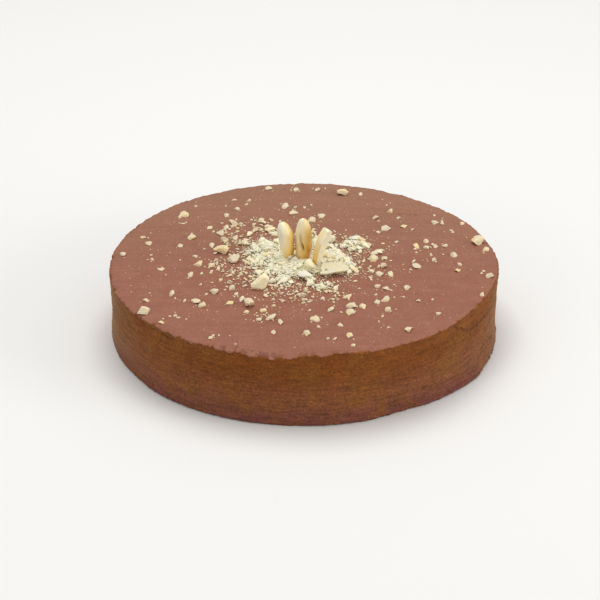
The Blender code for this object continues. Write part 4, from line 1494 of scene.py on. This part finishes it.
@dataclass
class Kernel:
    """One cashew kernel, standing in the heap or lying on it.

    Attributes:
        node: the CAD node that it replaces.
        fair_side: the way its pale side faces, as x and y.
        toast: how tan its skin is, from 0 to 1.
        foot_toast: how much more tan its lower end is.
        head_fade: how much less tan its upper end is.
        fair_fade: how much less tan its pale side is.
    """

    name: str
    node: str
    x: float
    y: float
    turn: float
    length: float
    width: float
    depth: float
    bend: float
    taper: float
    fair_side: tuple[float, float]
    toast: float
    foot_toast: float
    lean_right: float = 0.0
    lean_back: float = 0.0
    groove: float = 0.0
    half: Half = Half.WHOLE
    broken_off: float = 0.0
    head_fade: float = 0.16
    fair_fade: float = 0.36
    foot_bluntness: float = 2.3
    head_bluntness: float = 2.1
    # The seam down its inner side: half width, lean and wandering in radians, how the wandering turns
    # and starts, how the seam's ends fade, and its depth in grooves.
    seam_width: float = 0.3
    seam_lean: float = 0.0
    seam_wave: float = 0.08
    seam_turns: tuple[float, float] = (5.0, 0.6)
    seam_ends: tuple[float, float] = (1.2, 1.5)
    seam_depth: float = 0.8
    # The slit in the seam: half width, and from where to where along half the length either way.
    slit_width: float = 0.1
    slit_from: float = -0.4
    slit_to: float = 0.1
    slit_ends: Span = Span(0, 0.25, 1, 0.25)
    slit_shallower: float = 0.55
    # From which share of the slit on it gets shallower, and within which share.
    slit_change: tuple[float, float] = (0.3, 0.2)
    # How much a bulge also pushes lengthwise near the ends.
    end_lift: float = 0.6
    # What is uneven: the whole form, the split face, and the broken end, which slants this much.
    bulges: tuple[Layer, ...] = ((0.28, 6, 0.0), (0.09, (2, 2, 7), 3.0))
    split_grain: Layer = (0.09, 1.8, 4.0)
    end_grain: Layer = (0.5, 2.2, 7.0)
    end_slant: tuple[float, float] = (0.25, 0.1)
    # The foot's tan half way up and its slope, and where the head's pale starts and how far it eases.
    foot_line: tuple[float, float] = (0.5, 0.9)
    head_line: tuple[float, float] = (0.5, 0.4)
    # Unevenness of the toast.
    skin_mottle: Layer = (0.07, 5, 8.0)
    split_mottle: Layer = (0.12, 2.5, 9.0)
    # The least toast of skin. A split face has this much, and this share of its skin's.
    palest: float = 0.1
    split_toast: tuple[float, float] = (0.08, 0.25)
    # How dark the slit, the seam and the pit are painted.
    shades: tuple[float, float, float] = (0.6, 0.12, 0.7)
    pit: tuple[float, float] | None = None
    pit_size: float = 0.8
    pit_depth: float = 0.7 * MM
    sunk: float = 2.0 * MM
    split_margin: float = 0.4 * MM
    dish: float = 0.35 * MM
    around: int = 96
    along: int = 120
    # The points up its foot: how many, how far apart, the share of its thickness kept clear, and how
    # much of that share the lowest has and each next one gains.
    foot_points: int = 8
    foot_step: float = 1.7 * MM
    foot_clear: float = 0.37
    foot_widening: tuple[float, float] = (0.5, 0.2)

    def matrix(self, top: float) -> Matrix:
        """Where the kernel stands: its lower end sunk in the cream, then its lean and turn.

        Args:
            top: height of the cream.

        Returns:
            The matrix from the kernel's own place to that one.
        """
        place = Matrix.Translation((self.x, self.y, top - self.sunk))
        lean_side = Matrix.Rotation(math.radians(self.lean_right), 4, "Y")
        lean_back = Matrix.Rotation(-math.radians(self.lean_back), 4, "X")
        return place @ lean_side @ lean_back @ Matrix.Rotation(math.radians(self.turn), 4, "Z")

    def feet(self, top: float) -> list[tuple[Vector, float]]:
        """Points up the lower part of the kernel's bent middle line.

        Args:
            top: height of the cream.

        Returns:
            Each point, with the radius that crumbs keep clear of.
        """
        matrix = self.matrix(top)
        half_length = self.length / 2
        chord = self.bend * math.cos(half_length / self.bend)
        found = []
        least, growth = self.foot_widening
        for step in range(1, self.foot_points + 1):
            arc = (self.foot_step * step - half_length) / self.bend
            x, z = chord - self.bend * math.cos(arc), half_length + self.bend * math.sin(arc)
            clear = self.foot_clear * max(self.width, self.depth) * min(1.0, least + growth * step)
            found.append((matrix @ Vector((x, 0.0, z)), clear))
        return found

    def skin(self, matrix: Matrix) -> Skin:
        """Builds the kernel and paints it.

        Args:
            matrix: where it stands.

        Returns:
            The kernel in its place.
        """
        ring = np.arange(self.around) / self.around * math.tau
        rise = np.linspace(-1, 1, self.along + 1)[1:-1]
        along, around = (axis.ravel() for axis in np.meshgrid(rise, ring, indexing="ij"))
        along = np.concatenate([[-1.0], along, [1.0]])
        around = np.concatenate([[0.0], around, [0.0]])
        around = (around + math.pi) % math.tau - math.pi

        # The bent body, with its seam and the slit where the halves part.
        half_length = self.length / 2
        chord = self.bend * math.cos(half_length / self.bend)
        bluntness = np.where(along > 0, self.head_bluntness, self.foot_bluntness)
        section = np.sqrt(np.maximum(1 - np.abs(along) ** bluntness, 0.0)) * (1 + self.taper * along)
        turns, start = self.seam_turns
        seam_line = around + self.seam_lean * along + self.seam_wave * np.sin(turns * along + start)
        whole, fading = self.seam_ends
        seam = bell(seam_line, self.seam_width) * smooth_step(whole - fading * np.abs(along))
        slit_share = (along - self.slit_from) / (self.slit_to - self.slit_from)
        slit = bell(seam_line, self.slit_width) * self.slit_ends.share(slit_share)
        change, within = self.slit_change
        slit *= 1 - self.slit_shallower * smooth_step((slit_share - change) / within)
        groove = self.groove * self.seam_depth * (seam + slit)
        front = (self.depth / 2 - groove) * section * np.cos(around)
        across = self.width / 2 * section * np.sin(around)
        arc = along * half_length / self.bend
        reach = self.bend - front
        points = np.stack([chord - reach * np.cos(arc), across, half_length + reach * np.sin(arc)], axis=1)
        normal = np.stack([np.cos(around), np.sin(around), self.end_lift * along], axis=1)
        seed = self.length / MM
        bulge = layered(points, *self.bulges, shift=seed)
        points += (bulge * section)[:, None] * normal * MM

        # The broken faces: the split side with its pit, and the broken end.
        grit = np.zeros(len(points))
        pitted = np.zeros(len(points))
        if self.half is Half.SPLIT:
            wall = -self.split_margin + MM * layered(points * (1, 0, 1), self.split_grain)
            wall += self.dish * section * np.sin(around) ** 2
            if self.pit:
                away = np.hypot(points[:, 0] - self.pit[0], points[:, 2] - self.pit[1]) / MM
                pitted = bell(away, self.pit_size) * (points[:, 1] < 0)
                wall += self.pit_depth * pitted
            cut = points[:, 1] < wall
            points[:, 1] = np.where(cut, wall, points[:, 1])
            grit = np.where(cut, 1.0, grit)
        if self.broken_off:
            back, aside = self.end_slant
            end = self.length - self.broken_off - back * points[:, 0] + aside * points[:, 1]
            end += MM * layered(points * (1, 1, 0), self.end_grain)
            cut = points[:, 2] > end
            points[:, 2] = np.where(cut, end, points[:, 2])
            grit = np.where(cut, 1.0, grit)

        # The paint: pale on its fair side and head, tan at its foot, and pale again where it is broken. The
        # pale fair side and the tan side away from it are partly the kernel's own colour and partly painted
        # light and shade.
        world = np.array(matrix)
        placed = points @ world[:3, :3].T + world[:3, 3]
        facing = normal @ world[:3, :3].T
        fair = facing[:, 0] * self.fair_side[0] + facing[:, 1] * self.fair_side[1]
        middle, slope = self.foot_line
        toast = self.toast - self.fair_fade * fair + self.foot_toast * smooth_step(middle - slope * along)
        toast += layered(points, self.skin_mottle, shift=seed)
        start, within = self.head_line
        toast -= self.head_fade * smooth_step((along - start) / within)
        least, share = self.split_toast
        split_toast = least + share * toast + layered(points, self.split_mottle, shift=seed)
        toast = np.where(grit > 0, split_toast, np.clip(toast, self.palest, 1.0))
        slit_shade, seam_shade, pit_shade = self.shades
        hollow = self.groove / MM * (slit_shade * slit + seam_shade * seam) + pit_shade * pitted
        return Skin(placed, self.faces(), np.stack([toast, grit, hollow], axis=1))

    def faces(self) -> Rows:
        """Triangles between the rings, and the fans at both ends.

        Returns:
            Rows of three point numbers.
        """
        rings = self.along - 1
        number = 1 + np.arange(rings * self.around).reshape(rings, self.around)
        after = np.roll(number, -1, axis=1)
        low, low_after, high, high_after = number[:-1], after[:-1], number[1:], after[1:]
        strips = [np.stack([low, low_after, high_after], -1), np.stack([low, high_after, high], -1)]
        foot = np.stack([np.zeros_like(number[0]), after[0], number[0]], -1)
        head = np.stack([number[-1], after[-1], np.full_like(number[0], 1 + number.size)], -1)
        return np.concatenate([*(strip.reshape(-1, 3) for strip in strips), foot, head])


def standing_kernels() -> list[Kernel]:
    """The three cashews in the heap, sized and placed as the solids are.

    Returns:
        The left, the middle and the right one.
    """
    # The left kernel's fair side is set so far round that its right side is painted darkest tan, as painted
    # shade from the middle kernel beside it.
    left = Kernel(
        "kernel_left", "cashew_left", x=-10.5 * MM, y=-1.0 * MM, lean_right=-7.0, turn=150.0,
        length=30.0 * MM, width=8.8 * MM, depth=9.2 * MM, bend=60.0 * MM, taper=0.26, groove=0.4 * MM,
        fair_side=(-1.15, 0.1), toast=0.36, foot_toast=0.34, head_bluntness=2.7,
    )
    middle = Kernel(
        "kernel_middle", "cashew_middle", x=-1.2 * MM, y=-3.5 * MM, lean_right=0.5, turn=-105.0,
        length=33.2 * MM, width=10.8 * MM, depth=10.6 * MM, bend=40.0 * MM, taper=0.04, groove=1.2 * MM,
        fair_side=(-0.7, 0.0), toast=0.5, foot_toast=0.3, head_bluntness=1.85,
        slit_from=-0.42, slit_to=0.5, seam_lean=0.6,
    )
    right = Kernel(
        "kernel_right", "cashew_right", x=8.4 * MM, y=-8.5 * MM, lean_right=17.5, lean_back=3.0, turn=60.0,
        length=33.0 * MM, width=10.6 * MM, depth=9.0 * MM, bend=38.0 * MM, taper=0.26,
        half=Half.SPLIT, broken_off=5.5 * MM, fair_side=(0.4, 0.0), toast=0.32, foot_toast=0.34,
    )
    return [left, middle, right]


@dataclass
class LyingHalf:
    """The broken half kernel that lies against the front of the heap, its split face up and forward."""

    cream: CreamCoat
    x: float = 17.8 * MM
    y: float = -21.8 * MM
    turn: float = 98.0
    tilt: float = 24.0
    rise: float = 4.1 * MM

    def skin(self) -> Skin:
        """Builds the half kernel, laid on its round side.

        Returns:
            The half kernel in its place.
        """
        kernel = Kernel(
            "half_kernel", "chunk_front_right", self.x, self.y, self.turn,
            length=21.0 * MM, width=8.0 * MM, depth=8.4 * MM, bend=-20.0 * MM, taper=0.14,
            half=Half.SPLIT, broken_off=3.0 * MM, pit=(1.5 * MM, 14.5 * MM),
            fair_side=(0.0, -0.6), toast=0.3, foot_toast=0.1,
        )
        place = Matrix.Translation((self.x, self.y, self.cream.height + self.rise))
        tilt = Matrix.Rotation(math.radians(self.tilt), 4, "X")
        turn = Matrix.Rotation(math.radians(self.turn), 4, "Z")
        lay = Matrix.Rotation(math.radians(-90), 4, "X")
        return kernel.skin(place @ tilt @ turn @ lay @ Matrix.Translation((0, 0, -kernel.length / 2)))


@dataclass
class LooseChunks:
    """The chunks as large as a berry that lie on the cream, each a piece of its own."""

    cream: CreamCoat
    fragments: Fragments
    # Name, x, y, length, width and height in mm, turn in degrees, point and toast.
    placed: tuple[tuple[str, float, float, float, float, float, float, float, float], ...] = (
        ("front_left", -27.5, -36.5, 11.5, 8, 11, 22, 0.7, 0.2),
        ("left", -45, -1, 8.5, 7.5, 5.5, 160, -0.3, 0.04),
        ("left_back", -52, 12, 10, 7.5, 5.5, 150, 0.3, 0.34),
        ("near", -33.5, -60, 8.5, 7, 5.5, 70, 0.1, 0.06), ("rim_left", -96, -69, 9, 6.5, 5, 25, 0.5, 0.05),
        ("rim_right", 111, 28, 9.5, 7, 5, 50, 0.3, 0.1), ("back", 26, 102, 8, 6, 4.5, 0, 0.2, 0.2),
    )
    smoothest: str = "front_left"
    rounder: float = 0.16
    # How high the middle lies, as a share of the height, and how deep the underside may go.
    middle: float = 0.38
    sunk: float = 0.2 * MM
    sharp_angle: float = math.radians(40)
    seed: int = 5

    def dress(self, finish: bpy.types.Material, smooth_finish: bpy.types.Material) -> None:
        """Builds every chunk.

        Args:
            finish: of most of them.
            smooth_finish: of the smoothest one.
        """
        rng = random.Random(self.seed)
        for name, x, y, length, width, height, turn, point, toast in self.placed:
            smooth = name == self.smoothest
            shape = self.fragments.shape(Grade.CHUNK, rng, point, self.rounder if smooth else 0.0)
            top = float(self.cream.height_at(x * MM, y * MM)[0])
            centre = (x * MM, y * MM, top + self.middle * height * MM)
            place = Strewn(centre, (length * MM, width * MM, height * MM), math.radians(turn), 0.0, toast)
            skin = place.lay(shape, top - self.sunk)
            dressing = smooth_finish if smooth else finish
            skin.piece(f"cashew_chunk_{name}", dressing, CHOPPED, [f"chunk_{name}"], self.sharp_angle)


@dataclass
class Studio:
    """A plain pale floor, plain soft light, and the camera at the photograph's angle."""

    elevation: float = math.radians(28.35)
    distance: float = 1.3316
    aim_right: float = -2.54 * MM
    aim_up: float = 17.93 * MM
    lens: float = 124.56
    sensor: float = 36.0
    nearest: float = 0.05
    floor_side: float = 8.0
    floor_below: float = 0.2 * MM
    floor_colour: str = "#e4e3e0"
    floor_roughness: float = 0.9
    # Each light's name, place in metres, power in watts and length of its side in metres.
    lights: tuple[tuple[str, tuple[float, float, float], float, float], ...] = (
        ("key", (-0.05, 0.4, 1.7), 19.0, 1.2),
        ("front_right", (1.95, -0.8, 0.55), 23.0, 1.2),
        ("front_left", (-1.2, -1.5, 0.5), 9.0, 1.2),
    )
    sky: str = "#ffffff"
    sky_strength: float = 0.55

    def camera(self) -> None:
        """Places the camera and aims it."""
        sine, cosine = math.sin(self.elevation), math.cos(self.elevation)
        data = bpy.data.cameras.new("camera")
        data.sensor_width = self.sensor
        data.lens = self.lens
        data.clip_start = self.nearest
        place = Vector((0.0, -cosine, sine)) * self.distance
        aim = Vector((self.aim_right, self.aim_up * sine, self.aim_up * cosine))
        bpy.context.scene.camera = add_object("camera", data, place, aim)

    def lamps(self) -> None:
        """Hangs the square soft lights, which all face the cake."""
        for name, place, energy, size in self.lights:
            data = bpy.data.lights.new(name, "AREA")
            data.energy = energy
            data.size = size
            add_object(name, data, place, aim=Vector())

    def floor(self) -> None:
        """Lays the floor: matte painted board, which looks pale and plain."""
        bm = bmesh.new()
        bmesh.ops.create_grid(bm, x_segments=2, y_segments=2, size=self.floor_side / 2)
        mesh = bpy.data.meshes.new("floor")
        bm.to_mesh(mesh)
        bm.free()
        material, tree, shader = new_material("pale_matte_board")
        finish = {"Base Color": self.floor_colour, "Roughness": self.floor_roughness}
        set_inputs(tree, shader, finish)
        mesh.materials.append(material)
        floor = add_object("floor", mesh, (0, 0, -self.floor_below))

    def sky_light(self) -> None:
        """Fills the shadows from all round."""
        world = bpy.data.worlds.new("soft_room")
        world.use_nodes = True
        tree = world.node_tree
        light = {"Color": self.sky, "Strength": self.sky_strength}
        set_inputs(tree, tree.nodes["Background"], light)
        bpy.context.scene.world = world

    def build(self) -> None:
        """Sets up the camera, the floor, the lights and the colour management."""
        self.camera()
        self.floor()
        self.lamps()
        self.sky_light()
        view = bpy.context.scene.view_settings
        view.view_transform = "Standard"
        view.look = "None"


def main() -> None:
    """Builds the cake's pieces in order."""
    logging.basicConfig(level=logging.INFO, format="%(name)s: %(message)s")
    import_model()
    Studio().build()
    cream_finish = ChocolateCreamFinish().material()
    kernel_finish = CashewFinish().material()
    chopped = CashewFinish(name="chopped_raw_cashew", glow=0.3, mottle_size=2.5 * MM)
    chopped_finish = chopped.material()
    # Away from the heap the nut is duller, with a film of the cream on it.
    strewn = replace(chopped, name="strewn_raw_cashew", broken="#d2c4aa", cream="#dcc9a0")
    strewn_finish = strewn.material()
    split_finish = CashewFinish(name="split_raw_cashew", broken="#d2ccb6", cream="#dccda0").material()
    cream = CreamCoat()
    cream.skin().piece("chocolate_coat", cream_finish, "chocolate_cream", ["cake_body"])
    fragments = Fragments()
    ChipsOnTop(cream, fragments).dress(strewn_finish)
    kernels = standing_kernels()
    kernel_crisp = math.radians(50)
    for kernel in kernels:
        skin = kernel.skin(kernel.matrix(cream.height))
        skin.piece(kernel.name, kernel_finish, "cashew", [kernel.node], kernel_crisp)
    feet = [foot for kernel in kernels for foot in kernel.feet(cream.height)]
    NutHeap(cream, fragments).dress(chopped_finish, feet)
    half = LyingHalf(cream).skin()
    half.piece("half_kernel", split_finish, CHOPPED, ["chunk_front_right"], kernel_crisp)
    LooseChunks(cream, fragments).dress(strewn_finish, chopped_finish)


if __name__ == "__main__":
    main()
